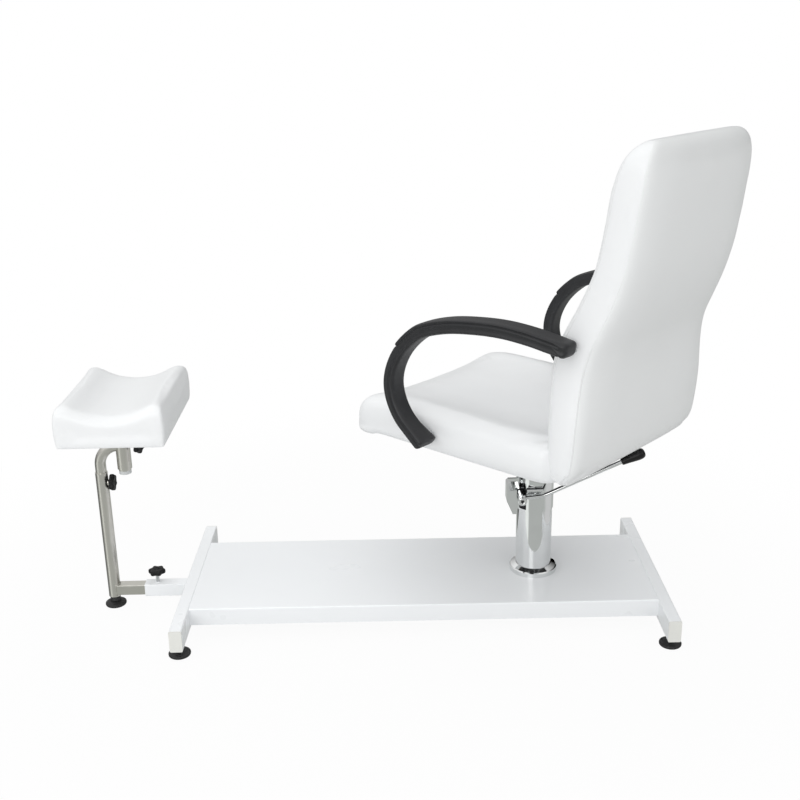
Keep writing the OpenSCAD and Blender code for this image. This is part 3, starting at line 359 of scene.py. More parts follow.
def metal(name, colour, rough, brush=None, shade_r=None, shade_z=None):
    """A metal. Nearer to the column's axis than the given radius, or above the given height, it is painted near
    black as shade.
    """
    steel = Shader(name)
    haze = steel.noise(26, 4)
    paint = steel.tint(haze.band(0.35, 0.8) * 0.5, colour, [c * 0.93 for c in colour])
    if shade_r:
        across = steel.node("VectorMath", {"operation": "MULTIPLY_ADD"}, {
            0: steel.place(), 1: (1, 1, 0), 2: (-column.x, -column.y, 0)})
        paint = steel.tint(steel.length(across).band(shade_r, shade_r + EDGE), PAINTED_SHADE, paint)
    if shade_z:
        paint = steel.tint(steel.axis(steel.place(), "Z").band(shade_z, shade_z + EDGE), paint, PAINTED_SHADE)
    inputs = {"Metallic": 1.0, "Base Color": paint, "Roughness": rough + haze * SMUDGE}
    if brush:
        lines = steel.noise(1.0, 5, brush, 0.65)
        inputs["Roughness"] += lines * 0.10
        inputs["Normal"] = steel.bump(lines * BRUSH_DEPTH, 0.8)
    return steel.surface(inputs)


chrome = metal("chrome", CHROME, 0.05)
# The pump's head and column are painted near black inside, as shade.
chrome_head = metal("chrome_head", CHROME, 0.05, shade_r=HEAD_BORE_R)
chrome_column = metal("chrome_column", CHROME, 0.05, shade_z=SHADE_FROM_Z)
steel_post = metal("satin_steel", (0.66, 0.645, 0.60), 0.22, (900, 900, 14))
steel_bar = metal("satin_steel_along", (0.62, 0.61, 0.56), 0.26, (14, 900, 900))
zinc = metal("zinc", (0.62, 0.63, 0.64), 0.30)
brass = metal("brass", (0.68, 0.50, 0.24), 0.30)
cast_steel = moulded("cast_steel", (0.16, 0.16, 0.165), 0.55, 0.0002, 700)
dark_paint = moulded("dark_paint", (0.022, 0.022, 0.024), 0.42, 0.00008, 500)
print("metals ready")

# %% [markdown]
# The shell under the padding is moulded plywood, and a thin black lining closes the seat
# from below. Both show only from underneath.

# %% Plywood and lining
board = Shader("plywood")
rings = board.node("TexWave", {"wave_type": "BANDS", "bands_direction": "Y"}, {
    "Vector": board.place((1, 1, 0.4)), "Scale": 9.0, "Distortion": 7.0, "Detail": 3.0})
plywood = board.surface({
    "Base Color": board.tint(rings.band(0.1, 0.9), (0.50, 0.36, 0.21), (0.62, 0.47, 0.30)),
    "Roughness": 0.62 - rings * 0.08, "Normal": board.bump(rings * 0.0002, 0.5)})
cloth = Shader("black_fabric")
weft = cloth.node("TexWave", {"bands_direction": "X"}, {"Vector": cloth.place(), "Scale": 420.0})
warp = cloth.node("TexWave", {"bands_direction": "Y"}, {"Vector": cloth.place(), "Scale": 420.0})
threads = weft.most(warp)
black_fabric = cloth.surface({
    "Base Color": cloth.tint(threads, (0.006, 0.006, 0.006), (0.022, 0.022, 0.023)),
    "Roughness": 0.85, "Sheen Weight": 0.2,
    "Normal": cloth.bump(threads * 0.0002, 0.8)})
print("plywood and lining ready")

# %% [markdown]
# Each CAD node states a material slot, so one table gives every solid its finish. Four of
# them need another one than the rest of their slot: the sliding bar is brushed along its
# own length, the pump's head and column are painted near black inside as shade, and the
# pin is painted black as the shade of the hole that it sits in.

# %% Finishes of the CAD nodes
finishes = {
    "white_enamel": white_enamel, "cap_plastic": cap_plastic, "chrome": chrome,
    "satin_steel": steel_post, "zinc": zinc, "cast_steel": cast_steel, "dark_paint": dark_paint,
    "foot_rubber": foot_rubber, "knob_plastic": knob_plastic, "grip_plastic": grip_plastic,
    "seal_rubber": seal_rubber, "brass": brass, "white_vinyl": white_vinyl,
    "cover_vinyl": cover_vinyl, "plywood": plywood, "black_fabric": black_fabric,
    "arm_plastic": arm_plastic, "clear_plug": clear_plug}
slots = {part["node"]: part["material_slot"] for part in frame["record"]["subparts"]}
for name, solid in nodes.items():
    solid.data.materials.clear()
    solid.data.materials.append(finishes[slots[name]])
# The pump's head and column are painted near black inside as shade, and the pin is painted black as the shade of
# its hole.
for name, finish in (("slide_tube", steel_bar), ("pump_head", chrome_head),
                     ("pump_column", chrome_column), ("lever_pin", dark_paint)):
    nodes[name].data.materials[0] = finish
print("finishes given to", len(nodes), "nodes")

# %% [markdown]
# Every piece that is modelled below goes through one helper: it makes the object, gives it
# its finish, lets it ride on its CAD body, and takes the names of the CAD nodes that it
# stands for and hides them.


# %% Helpers for pieces
def piece(name, shape, finish, body, stands_for=(), smooth=True, frame_of=None):
    """Turns a bmesh into a finished piece that rides on a body."""
    if frame_of is not None:
        bmesh.ops.transform(shape, matrix=frame_of, verts=shape.verts)
    data = bpy.data.meshes.new(name)
    shape.to_mesh(data)
    shape.free()
    data.materials.append(finish)
    for face in data.polygons:
        face.use_smooth = smooth
    made = bpy.data.objects.new(name, data)
    bpy.context.scene.collection.objects.link(made)
    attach(made, body)
    if stands_for:
        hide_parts(*stands_for)
    return made


def curve_through(table, place):
    """Smooth value of a table at a place from 0, its first row, to 1, its last."""
    last = len(table) - 1
    i = min(int(place * last), last - 1)
    f = place * last - i
    a, b, c, d = (Vector(table[min(max(k, 0), last)]) for k in (i - 1, i, i + 1, i + 2))
    return b + (c - a) * (f / 2) + (a * 2 - b * 5 + c * 4 - d) * (f * f / 2) + (
        b * 3 - a - c * 3 + d) * (f * f * f / 2)


def bent_grid(around, along, point, closed=True):
    """A grid whose every vertex is moved to point(s, t), joined to a tube if closed."""
    shape = bmesh.new()
    bmesh.ops.create_grid(shape, x_segments=around, y_segments=along, size=0.5)
    for vert in shape.verts:
        vert.co = Vector(point(min(max(vert.co.x + 0.5, 0), 1), min(max(vert.co.y + 0.5, 0), 1)))
    if closed:
        bmesh.ops.remove_doubles(shape, verts=shape.verts, dist=1e-6)
        rims = [edge for edge in shape.edges if edge.is_boundary]
        bmesh.ops.holes_fill(shape, edges=rims, sides=0)
        bmesh.ops.recalc_face_normals(shape, faces=shape.faces)
    return shape


def turned(profile, steps=48, ring=False):
    """A profile of (radius, height) spun about Z. The profile of a ring is a closed loop."""
    shape = bmesh.new()
    verts = [shape.verts.new((radius, 0, high)) for radius, high in profile]
    line = [shape.edges.new(pair) for pair in zip(verts, verts[1:] + verts[:ring])]
    bmesh.ops.spin(shape, geom=verts + line, cent=(0, 0, 0), axis=(0, 0, 1),
                   angle=math.tau, steps=steps, use_merge=True)
    bmesh.ops.remove_doubles(shape, verts=shape.verts, dist=1e-6)
    bmesh.ops.recalc_face_normals(shape, faces=shape.faces)
    return shape


WELT_SIDES = 8


def welt(points, radius, ripple=0.0):
    """A thin round welt through the points, which may end where it starts."""
    points, last = [Vector(p) for p in points], len(points) - 1
    joined = (points[0] - points[-1]).length < 1e-7
    frames, normal = [], None
    for i, here in enumerate(points):
        before = points[i - 1] if i else (points[-2] if joined else here)
        after = points[i + 1] if i < last else (points[1] if joined else here)
        run = (after - before).normalized()
        normal = run.orthogonal() if normal is None else normal
        normal = (normal - run * normal.dot(run)).normalized()
        thick = radius * (1 + ripple * math.sin(i * 2.4))
        frames.append((here, normal.copy(), run.cross(normal), thick))
    if joined:
        frames[-1] = frames[0]

    def point(s, t):
        here, one, other, thick = frames[round(t * last)]
        angle = math.tau * (round(s * WELT_SIDES) % WELT_SIDES) / WELT_SIDES
        return here + (one * math.cos(angle) + other * math.sin(angle)) * thick
    return bent_grid(WELT_SIDES, last, point)


print("helpers ready")

# %% [markdown]
# The three cushions start from the same outlines as their solids: rows that say how wide,
# how low and how high the cushion is at each place, and one outline of its section. The
# tables are those of the CAD model, in shares of each cushion's size.

# %% Outlines of the cushions
SEAT_Z, SEAT_L, SEAT_W, SEAT_T, SEAT_FRONT = 0.419, 0.524, 0.514, 0.087, -0.334
BACK_H, BACK_W, BACK_U, BACK_LEAN = 0.679, 0.512, 0.180, 0.190
PAD_Z, PAD_L, PAD_W, PAD_H, PAD_X = 0.458, 0.236, 0.322, 0.088, -0.658
SEAM_SHARE, RING_STEPS = 0.84, 92
back_rows = [
    (0.000, 0.230, 0.205, 0.840), (0.004, 0.275, 0.185, 0.880), (0.012, 0.315, 0.150, 0.912),
    (0.022, 0.352, 0.115, 0.934), (0.038, 0.388, 0.080, 0.949), (0.060, 0.418, 0.055, 0.958),
    (0.082, 0.438, 0.042, 0.962), (0.127, 0.463, 0.042, 0.965), (0.208, 0.490, 0.041, 0.965),
    (0.281, 0.503, 0.029, 0.948), (0.348, 0.520, 0.020, 0.926), (0.414, 0.567, 0.060, 0.902),
    (0.473, 0.655, 0.147, 0.883), (0.561, 0.783, 0.295, 0.859), (0.658, 0.883, 0.431, 0.844),
    (0.767, 0.948, 0.504, 0.832), (0.856, 0.992, 0.552, 0.824), (0.922, 1.010, 0.615, 0.809),
    (0.959, 1.000, 0.675, 0.781), (0.982, 0.975, 0.740, 0.735), (0.996, 0.935, 0.800, 0.664),
    (1.000, 0.900, 0.835, 0.580)]
back_outline = [
    (0.00, -0.14), (0.30, -0.13), (0.58, -0.09), (0.80, -0.03), (0.93, 0.03), (0.985, 0.15),
    (1.00, 0.50), (0.985, 0.81), (0.93, 0.93), (0.80, 0.985), (0.55, 1.04), (0.00, 1.06)]
seat_rows = [
    (0.000, 0.885, 0.02, 0.50), (0.005, 0.925, -0.05, 0.64), (0.018, 0.955, -0.10, 0.77),
    (0.048, 0.980, -0.12, 0.885), (0.090, 0.993, -0.09, 0.945), (0.130, 0.997, -0.02, 0.975),
    (0.180, 1.000, 0.00, 0.99), (0.320, 1.000, 0.00, 1.00), (0.600, 1.000, 0.00, 0.98),
    (0.850, 0.996, 0.00, 0.965), (0.960, 0.986, 0.00, 0.958), (1.000, 0.968, 0.00, 0.950),
    (1.022, 0.925, 0.01, 0.92), (1.050, 0.890, 0.06, 0.85), (1.075, 0.840, 0.16, 0.65)]
seat_outline = [
    (0.00, 0.00), (0.50, 0.00), (0.90, 0.00), (0.955, 0.05), (0.985, 0.20), (1.00, 0.50),
    (0.985, 0.78), (0.945, 0.93), (0.87, 1.00), (0.76, 0.985), (0.62, 0.93), (0.42, 0.885),
    (0.20, 0.87), (0.00, 0.865)]
pad_rows = [
    (-1.000, 0.965, 0.04, 0.74), (-0.990, 0.990, 0.01, 0.84), (-0.960, 1.00, 0.00, 0.93),
    (-0.900, 1.00, 0.00, 0.98), (-0.800, 1.00, 0.00, 1.00), (0.00, 1.00, 0.00, 1.00),
    (0.800, 1.00, 0.00, 1.00), (0.900, 1.00, 0.00, 0.98), (0.960, 1.00, 0.00, 0.93),
    (0.990, 0.990, 0.01, 0.84), (1.000, 0.965, 0.04, 0.74)]
pad_outline = [
    (0.00, 0.00), (0.50, 0.00), (0.93, 0.00), (0.975, 0.04), (0.99, 0.20), (1.00, 0.50),
    (0.995, 0.82), (0.97, 0.95), (0.92, 1.00), (0.82, 1.005), (0.70, 0.955), (0.52, 0.84),
    (0.30, 0.745), (0.00, 0.70)]


def whole(half):
    """A half outline and its mirror image, as one ring that ends where it starts."""
    return half + [(-across, along) for across, along in reversed(half[:-1])]


def lofted(rows, outline, place, along):
    """A closed skin over the rows; place(row, across, along) gives a point of a ring."""
    ring = whole(outline)

    def point(s, t):
        across, depth = curve_through(ring, s)
        return place(curve_through(rows, t), across, depth)
    return bent_grid(RING_STEPS, along, point)


def back_point(row, across, depth):
    front, rear = BACK_U + row[2] * BACK_LEAN, BACK_U + row[1] * BACK_LEAN
    return (front + depth * (rear - front), across * row[3] * BACK_W / 2, SEAT_Z + row[0] * BACK_H)


def seat_point(row, across, high):
    return (SEAT_FRONT + row[0] * SEAT_L, across * row[1] * SEAT_W / 2,
            SEAT_Z + (row[2] + high * (row[3] - row[2])) * SEAT_T)


def pad_point(row, across, high):
    return (PAD_X + across * row[1] * PAD_L / 2, row[0] * PAD_W / 2,
            PAD_Z + (row[2] + high * (row[3] - row[2])) * PAD_H)


print("outlines:", len(back_rows), "rows of the back,", len(seat_rows), "of the seat")

# %% [markdown]
# Foam under stretched leatherette bulges a little between the places where it is held.
# Blender's Cloth, blown up with some pressure, gives just that. The skin is remeshed to
# even squares first, its underside is pinned, and no point may move more than a few
# millimetres, so that the cushion stays in the room of its solid.


# %% Cloth simulation of a padded skin
SHRINK, PRESSURE, STIFFNESS, BENDING, STEPS = 0.0003, 4.0, 30, 2, 20
ALL_AXES = {"use_axis_x": True, "use_axis_y": True, "use_axis_z": True}


def inflated(shape, name, pinned, cap, voxel=0.006):
    """Remeshes, blows up and calms a closed skin; pinned(co) says which points stay."""
    data = bpy.data.meshes.new(name)
    shape.to_mesh(data)
    shape.free()
    body = bpy.data.objects.new(name, data)
    bpy.context.scene.collection.objects.link(body)
    remesh = body.modifiers.new("even", "REMESH")
    remesh.mode, remesh.voxel_size = "VOXEL", voxel
    body.data = bpy.data.meshes.new_from_object(
        body.evaluated_get(bpy.context.evaluated_depsgraph_get()))
    body.modifiers.clear()
    skin = bmesh.new()
    skin.from_mesh(body.data)
    bmesh.ops.smooth_vert(skin, verts=skin.verts, factor=0.5, **ALL_AXES)
    bmesh.ops.recalc_face_normals(skin, faces=skin.faces)
    for vert in skin.verts:
        if not pinned(vert.co):
            vert.co -= vert.normal * SHRINK
    skin.to_mesh(body.data)
    skin.free()
    start = [vert.co.copy() for vert in body.data.vertices]
    group = body.vertex_groups.new(name="held")
    group.add([vert.index for vert in body.data.vertices if pinned(vert.co)], 1.0, "REPLACE")
    cloth_mod = body.modifiers.new("cloth", "CLOTH")
    settings = cloth_mod.settings
    settings.use_pressure, settings.uniform_pressure_force = True, PRESSURE
    settings.effector_weights.gravity = 0
    settings.vertex_group_mass = "held"
    settings.tension_stiffness = settings.compression_stiffness = STIFFNESS
    settings.bending_stiffness = BENDING
    cloth_mod.point_cache.frame_start, cloth_mod.point_cache.frame_end = 1, STEPS
    for step in range(1, STEPS + 1):
        bpy.context.scene.frame_set(step)
    settled = bpy.data.meshes.new_from_object(
        body.evaluated_get(bpy.context.evaluated_depsgraph_get()))
    bpy.context.scene.frame_set(1)
    body.modifiers.clear()
    body.vertex_groups.clear()
    for vert, after, before in zip(body.data.vertices, settled.vertices, start):
        move = after.co - before
        vert.co = before + move * min(1, cap / max(move.length, 1e-9))
    bpy.data.meshes.remove(settled)
    skin = bmesh.new()
    skin.from_mesh(body.data)
    for _ in range(3):
        bmesh.ops.smooth_vert(skin, verts=[v for v in skin.verts if not pinned(v.co)],
                              factor=0.4, **ALL_AXES)
    bpy.data.objects.remove(body)
    print(name, "has", len(skin.verts), "points")
    return skin


def subdivided(made):
    """Smooths a piece by one level of subdivision."""
    finer = made.modifiers.new("finer", "SUBSURF")
    finer.levels = finer.render_levels = 1
    return made


# %% Seat cushion
seat_skin = inflated(
    lofted(seat_rows, seat_outline, seat_point, 80), "seat_shape",
    lambda co: co.z < SEAT_Z + 0.005 or co.x > BACK_U + 0.002, 0.004)
seat_padding = subdivided(piece(
    "seat_padding", seat_skin, white_vinyl, "seat", ["seat_cushion"],
    frame_of=seat_frame))

# %% [markdown]
# The back is one padded body. A rear panel is stretched over it from behind and sewn to
# it along a line near the rear corner, which runs down both sides and meets the front
# seam in a point at the bottom. The panel is a thin skin that lies on the body, so its
# edge draws that line.


# %% Back padding
back_skin = inflated(
    lofted(back_rows, back_outline, back_point, 110), "back_shape",
    lambda co: co.z < SEAT_Z + 0.012, 0.003, voxel=0.0066)
rear_skin = back_skin.copy()
back_padding = subdivided(piece(
    "back_padding", back_skin, white_vinyl, "seat", ["back_cushion"],
    frame_of=seat_frame))
print("back padding ready")

# %% Rear panel
PANEL_LIFT, PANEL_WALL, PANEL_TRIES = 0.0012, 0.0024, 4000
MID_REAR = Vector((0.30, 0, 0.75))
rear_tree = BVHTree.FromBMesh(rear_skin)
back_ring = whole(back_outline)
panel_from = next(share for share in (k / PANEL_TRIES for k in range(PANEL_TRIES // 2))
                  if curve_through(back_ring, share)[1] >= SEAM_SHARE and share > 6 / 22)


def panel_point(s, t):
    across, depth = curve_through(back_ring, panel_from + s * (1 - 2 * panel_from))
    guess = Vector(back_point(curve_through(back_rows, t), across, depth))
    spot, normal = rear_tree.find_nearest(guess)[:2]
    return spot + normal * PANEL_LIFT


rear_shape = bent_grid(90, 130, panel_point, closed=False)
for _ in range(3):
    bmesh.ops.smooth_vert(rear_shape, verts=rear_shape.verts, factor=0.5, **ALL_AXES)
rear_shape.normal_update()
middle = min(rear_shape.faces, key=lambda face: (face.calc_center_median() - MID_REAR).length)
if middle.normal.x < 0:
    bmesh.ops.reverse_faces(rear_shape, faces=rear_shape.faces)
rear_panel = piece("rear_panel", rear_shape, cover_vinyl, "seat", ["rear_cover"],
                   frame_of=seat_frame)
wall = rear_panel.modifiers.new("wall", "SOLIDIFY")
wall.thickness, wall.offset = PANEL_WALL, -1
subdivided(rear_panel)
print("rear panel ready")

# %% [markdown]
# Two sewn lines run up each side of the back and over its top. They start together in a
# point at the bottom. The front one turns forward and follows the front edge, the rear
# one follows the edge of the rear panel. Each is a thin welt that lies half in the skin,
# and higher up it sinks almost out of sight.

# %% Seams of the back
WELT_R, WELT_SINK, SINK_FROM, SINK_OVER = 0.0012, 0.0012, 0.66, 0.1
FLANK_STEPS, LOW_STEPS, TOP_STEPS, BESIDE, ABOVE = 90, 60, 60, 0.4, 1.3
V_TIP = (0.227, 0.4315)
front_low = [V_TIP, (0.214, 0.437), (0.205, 0.445), (0.1975, 0.453), (0.1940, 0.464), (0.193, 0.481),
             (0.1945, 0.506), (0.197, 0.532), (0.1985, 0.585), (0.200, 0.642)]
rear_low = [V_TIP, (0.233, 0.439), (0.239, 0.449)]


def share_u(height_share, share):
    """Place between the front and the rear of the back at a height."""
    low, high = next((pair for pair in zip(back_rows, back_rows[1:])
                      if height_share <= pair[1][0]), back_rows[-2:])
    f = min(max((height_share - low[0]) / (high[0] - low[0]), 0), 1)
    rear, front = low[1] + f * (high[1] - low[1]), low[2] + f * (high[2] - low[2])
    return BACK_U + (front + share * (rear - front)) * BACK_LEAN


def seam_points(low, share, proud):
    """A line up one side, over the top and down the other side, on the skin of the back."""
    flank = list(low)
    start = (low[-1][1] - SEAT_Z) / BACK_H
    for k in range(1, FLANK_STEPS + 1):
        h = start + (0.985 - start) * k / FLANK_STEPS
        flank.append((share_u(min(h, 0.955), share), SEAT_Z + h * BACK_H))
    fine = [curve_through(flank[:12], k / LOW_STEPS) for k in range(LOW_STEPS)]
    fine += [Vector(p) for p in flank[11:]]

    def on_side(u, w, side):
        return rear_tree.ray_cast(Vector((u, side * BESIDE, w)), Vector((0, -side, 0)))[:2]

    near, far = ([hit for hit in (on_side(u, w, side) for u, w in fine) if hit[0]]
                 for side in (-1, 1))
    u, v0, v1 = fine[-1][0], near[-1][0].y, far[-1][0].y
    over = [rear_tree.ray_cast(Vector((u, v0 + (v1 - v0) * k / TOP_STEPS, ABOVE)),
                               Vector((0, 0, -1)))[:2] for k in range(1, TOP_STEPS)]
    line = []
    for spot, normal in near + [hit for hit in over if hit[0]] + far[::-1]:
        sunk = min(max((spot.z - SINK_FROM) / SINK_OVER, 0), 1)
        line.append(spot + normal * (proud - WELT_SINK * sunk))
    for _ in range(4):
        calm = [(a + b * 2 + c) / 4 for a, b, c in zip(line, line[1:], line[2:])]
        line = [line[0], *calm, line[-1]]
    return line


# The welts are painted a little darker than the skin, which draws the seams' shade.
for name, low, share, proud in (("front", front_low, 0.17, 0.0005),
                                ("rear", rear_low, SEAM_SHARE, 0.0010)):
    piece(f"back_{name}_welt", welt(seam_points(low, share, proud), WELT_R), welt_vinyl_painted_shade, "seat",
          frame_of=seat_frame)
print("seams ready")

# %% [markdown]
# The foot rest's pad is a block of foam with a shallow trough for the calves. It is made
# as the seat is, with a finer remesh, because its edges are tighter.

# %% Foot rest pad
pad_skin = inflated(
    lofted(pad_rows, pad_outline, pad_point, 64), "pad_shape",
    lambda co: co.z < PAD_Z + 0.004, 0.003, voxel=0.005)
pad_padding = subdivided(piece(
    "foot_pad_padding", pad_skin, white_vinyl, "pad", ["pad_cushion"],
    frame_of=base_frame))
print("foot pad ready")

# %% [markdown]
# The arms are moulded in black plastic round a steel core. Each is a loop of one broad,
# rounded section that widens into the seat at its foot and turns in to the back at its
# end. The pad that the forearm rests on begins with a small step at the front.

# %% Arms
ARM_GAUGE, ARM_W, ARM_T, ARM_PROUD, ARM_L, ARM_H = 0.581, 0.044, 0.028, 0.003, 0.420, 0.273
ARM_FRONT, ARM_LOW, ARM_FOOT_V, ARM_TIP_V, ARM_STEP = -0.166, 0.043, 0.2576, 0.2316, 0.44
LOOP_END, SPAN_PER_R, WRAP_FROM, WRAP_OVER = 0.972, 0.022 / 0.012, 0.945, 0.03
arm_rows = [
    (0.207, -0.033), (0.135, 0.058), (0.067, 0.150), (0.019, 0.271), (0.000, 0.407),
    (0.019, 0.549), (0.071, 0.692), (0.145, 0.810), (0.229, 0.894), (0.381, 0.963),
    (0.550, 0.996), (0.686, 1.000), (0.812, 0.978), (0.907, 0.945), (1.000, 0.916)]
arm_toe = [(t, 0) for t in (0, 0, 0, 0, 0, 0, 0, 0, 0, 0.02, 0.12, 0.30, 0.54, 0.80, 1.00)]


def arm_middle(s):
    along, high = curve_through(arm_rows, s)
    return Vector((ARM_FRONT + along * ARM_L, SEAT_Z + ARM_LOW + high * ARM_H))


def arm_section(s, low, high, margin, section):
    """Points of one section of an arm, from a table of shares across and outwards."""
    mid = arm_middle(s)
    run = (arm_middle(min(s + 0.004, 1)) - arm_middle(max(s - 0.004, 0))).normalized()
    out = Vector((-run.y, run.x))
    inner_gauge = (ARM_GAUGE - ARM_W) / 2
    outer = inner_gauge + ARM_W - curve_through(arm_toe, s)[0] * (inner_gauge - ARM_TIP_V)
    inner = max(outer - ARM_W - (inner_gauge - ARM_FOOT_V) * max(0, 1 - s * 12),
                ARM_FOOT_V if s < 0.2 else 0)
    lo, hi, a, b = low + margin, high - margin, inner + margin, outer - margin
    spots = [(a + p * (b - a), lo + q * (hi - lo)) for p, q in section]
    return [(mid.x + far * out.x, across, mid.y + far * out.y) for across, far in spots]


def arm_loop(low, high, s0, s1, section, count, side, first, last):
    """A skin of sections along the loop, rounded at both ends by the radii first and last."""
    ends = (0.0, 0.05, 0.14, 0.28, 0.48, 0.72, 1.0)
    rim = [1 - math.sqrt(1 - (1 - e) ** 2) for e in ends]
    first_span, last_span = first * SPAN_PER_R, last * SPAN_PER_R
    stations = [(s0 + e * first_span, r * first) for e, r in zip(ends, rim)]
    stations += [(s0 + (s1 - s0) * i / count, 0) for i in range(1, count)
                 if stations[-1][0] + 0.002 < s0 + (s1 - s0) * i / count < s1 - last_span - 0.002]
    stations += [(s1 - e * last_span, r * last) for e, r in list(zip(ends, rim))[::-1]]
    rings = [arm_section(s, low(s), high(s), margin, section) for s, margin in stations]
    across, along = len(section), len(rings) - 1

    def point(u, v):
        ring = rings[round(v * along)]
        x, y, z = ring[round(u * across) % across]
        return (x, side * y, z)
    shape = bent_grid(across, along, point)
    for face in [f for f in shape.faces if len(f.verts) > 8]:
        bmesh.ops.poke(shape, faces=[face])
    return shape


def rounded_section(corner, steps, dip=0.0):
    """A rectangle of unit size with round corners; dip hollows its outer face."""
    points = []
    for cx, cy, start in ((1 - corner, 1 - corner, 0), (corner, 1 - corner, 90),
                          (corner, corner, 180), (1 - corner, corner, 270)):
        for k in range(steps + 1):
            angle = math.radians(start + 90 * k / steps)
            points.append((cx + corner * math.cos(angle), cy + corner * math.sin(angle)))
    for k in range(1, 6):
        q = corner + (1 - 2 * corner) * k / 6
        points.append((1 - dip * math.sin(math.pi * k / 6), q))
    return points


loop_section = rounded_section(0.25, 6, 0.045)
pad_section = rounded_section(0.27, 6, 0.055)


def pad_low(s):
    """The pad's underside: it wraps down over the end of the loop."""
    f = min(max((s - WRAP_FROM) / WRAP_OVER, 0), 1)
    return -(ARM_T / 2 + 0.001) * f * f * (3 - 2 * f)


for side, name in ((-1, "left"), (1, "right")):
    loop = arm_loop(lambda s: -ARM_T / 2,
                    lambda s: ARM_T / 2 if s < ARM_STEP else ARM_T / 2 - ARM_PROUD,
                    0, LOOP_END, loop_section, 90, side, 0.009, 0.004)
    subdivided(piece(f"{name}_arm_loop", loop, arm_plastic, "seat",
                     [f"arm_frame_{name}"], frame_of=seat_frame))
    top = arm_loop(pad_low, lambda s: ARM_T / 2 + ARM_PROUD,
                   ARM_STEP, 1, pad_section, 60, side, 0.004, 0.012)
    subdivided(piece(f"{name}_arm_rest", top, arm_plastic, "seat",
                     [f"arm_pad_{name}"], frame_of=seat_frame))
print("arms ready")

# %% [markdown]
# The pump lever ends in a pear-shaped grip. A profile that is spun about its axis makes
# it, and it is moved to the end of the rod, past the elbow where the rod leaves its hub.

# %% Grip of the lever
HUB_RISE, ROD_RISE = math.radians(6), math.radians(24.5)
ROD_START, ELBOW_R, ELBOW_L, ROD_Y = Vector((-0.035, 0.277)), 0.060, 0.038, -0.052
GRIP_D, GRIP_L, ROD_L = 0.025, 0.056, 0.208
elbow = ROD_START + ELBOW_L * Vector((math.cos(HUB_RISE), math.sin(HUB_RISE)))
elbow += ELBOW_R * Vector((math.sin(ROD_RISE) - math.sin(HUB_RISE),
                           math.cos(HUB_RISE) - math.cos(ROD_RISE)))
rod_frame = Matrix.Translation((column.x + elbow.x, column.y + ROD_Y, elbow.y)) @ Matrix.Rotation(
    math.pi / 2 - ROD_RISE, 4, "Y")
grip_rows = [(0.20, 0.0), (0.285, 0.0), (0.315, 0.02), (0.335, 0.06), (0.37, 0.25), (0.42, 0.42),
             (0.465, 0.57), (0.497, 0.70), (0.50, 0.77), (0.48, 0.86), (0.43, 0.93), (0.33, 0.975),
             (0.18, 0.997), (0.0, 1.0)]
grip = turned([(r * GRIP_D, h * GRIP_L) for r, h in grip_rows])
subdivided(piece("lever_grip_cover", grip, grip_plastic, "lever", ["lever_grip"],
                 frame_of=rod_frame @ Matrix.Translation((0, 0, ROD_L - GRIP_L / 2))))
grip_low, grip_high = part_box("lever_grip")
print("grip from", [round(c, 4) for c in grip_low], "to", [round(c, 4) for c in grip_high])

# %% [markdown]
# The hub turns on a pin that sits a little deep in it, so its end shows as a bright round
# rim with a dark hole, whose shade is painted on the pin in black. The rim is a ring: a flat
# loop that is spun about the pin.

# %% Rim of the hub
RIM_R, RIM_BEAD_R, RIM_SQUASH, RIM_SIDES, PIN_RECESS = 0.0070, 0.0034, 0.8, 20, 0.004
pin_low, pin_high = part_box("lever_pin")
rim_loop = [(RIM_R + RIM_BEAD_R * math.cos(math.tau * k / RIM_SIDES),
             RIM_BEAD_R * RIM_SQUASH * math.sin(math.tau * k / RIM_SIDES)) for k in range(RIM_SIDES)]
hub_front = Matrix.Translation(((pin_low[0] + pin_high[0]) / 2, pin_low[1] - PIN_RECESS,
                                (pin_low[2] + pin_high[2]) / 2)) @ Matrix.Rotation(math.pi / 2, 4, "X")
piece("hub_rim", turned(rim_loop, 56, ring=True), chrome, "lever", frame_of=hub_front)
print("hub rim ready")

# %% [markdown]
# The clamps of the foot rest are turned by knobs with six lobes. A knob is a wavy disc
# with rounded rims and a shallow dish on top.


# %% Clamp knobs
KNOB_R, LOBES, LOBE_R, KNOB_T, KNOB_ROUND = 0.0180, 6, 0.0020, 0.012, 0.0042
DISH_FROM, DISH_SLOPE, DISH_DEPTH = 0.0035, 0.0014, 0.0006


def clamp_knob(name, node, body, turn):
    """A lobed knob on the axis that turn gives, in the room of its CAD node."""
    shape = bmesh.new()
    bmesh.ops.create_circle(shape, cap_ends=True, radius=1, segments=120)
    for vert in shape.verts:
        angle = math.atan2(vert.co.y, vert.co.x)
        lobe = KNOB_R + LOBE_R * math.cos(LOBES * angle)
        vert.co = Vector((math.cos(angle) * lobe, math.sin(angle) * lobe, 0))
    lifted = bmesh.ops.extrude_face_region(shape, geom=shape.faces[:])
    top = [item for item in lifted["geom"] if isinstance(item, bmesh.types.BMVert)]
    bmesh.ops.translate(shape, verts=top, vec=(0, 0, KNOB_T))
    bmesh.ops.recalc_face_normals(shape, faces=shape.faces)
    rims = [edge for edge in shape.edges if abs(edge.verts[0].co.z - edge.verts[1].co.z) < 1e-6]
    bmesh.ops.bevel(shape, geom=rims, offset=KNOB_ROUND, segments=5, profile=0.5, affect="EDGES",
                    material=-1, clamp_overlap=True)
    crown = max(shape.faces, key=lambda face: (len(face.verts), face.calc_center_median().z))
    bmesh.ops.inset_region(shape, faces=[crown], thickness=DISH_FROM, depth=0)
    bmesh.ops.inset_region(shape, faces=[crown], thickness=DISH_SLOPE, depth=-DISH_DEPTH)
    piece(name, shape, knob_plastic, body, [node], frame_of=turn)


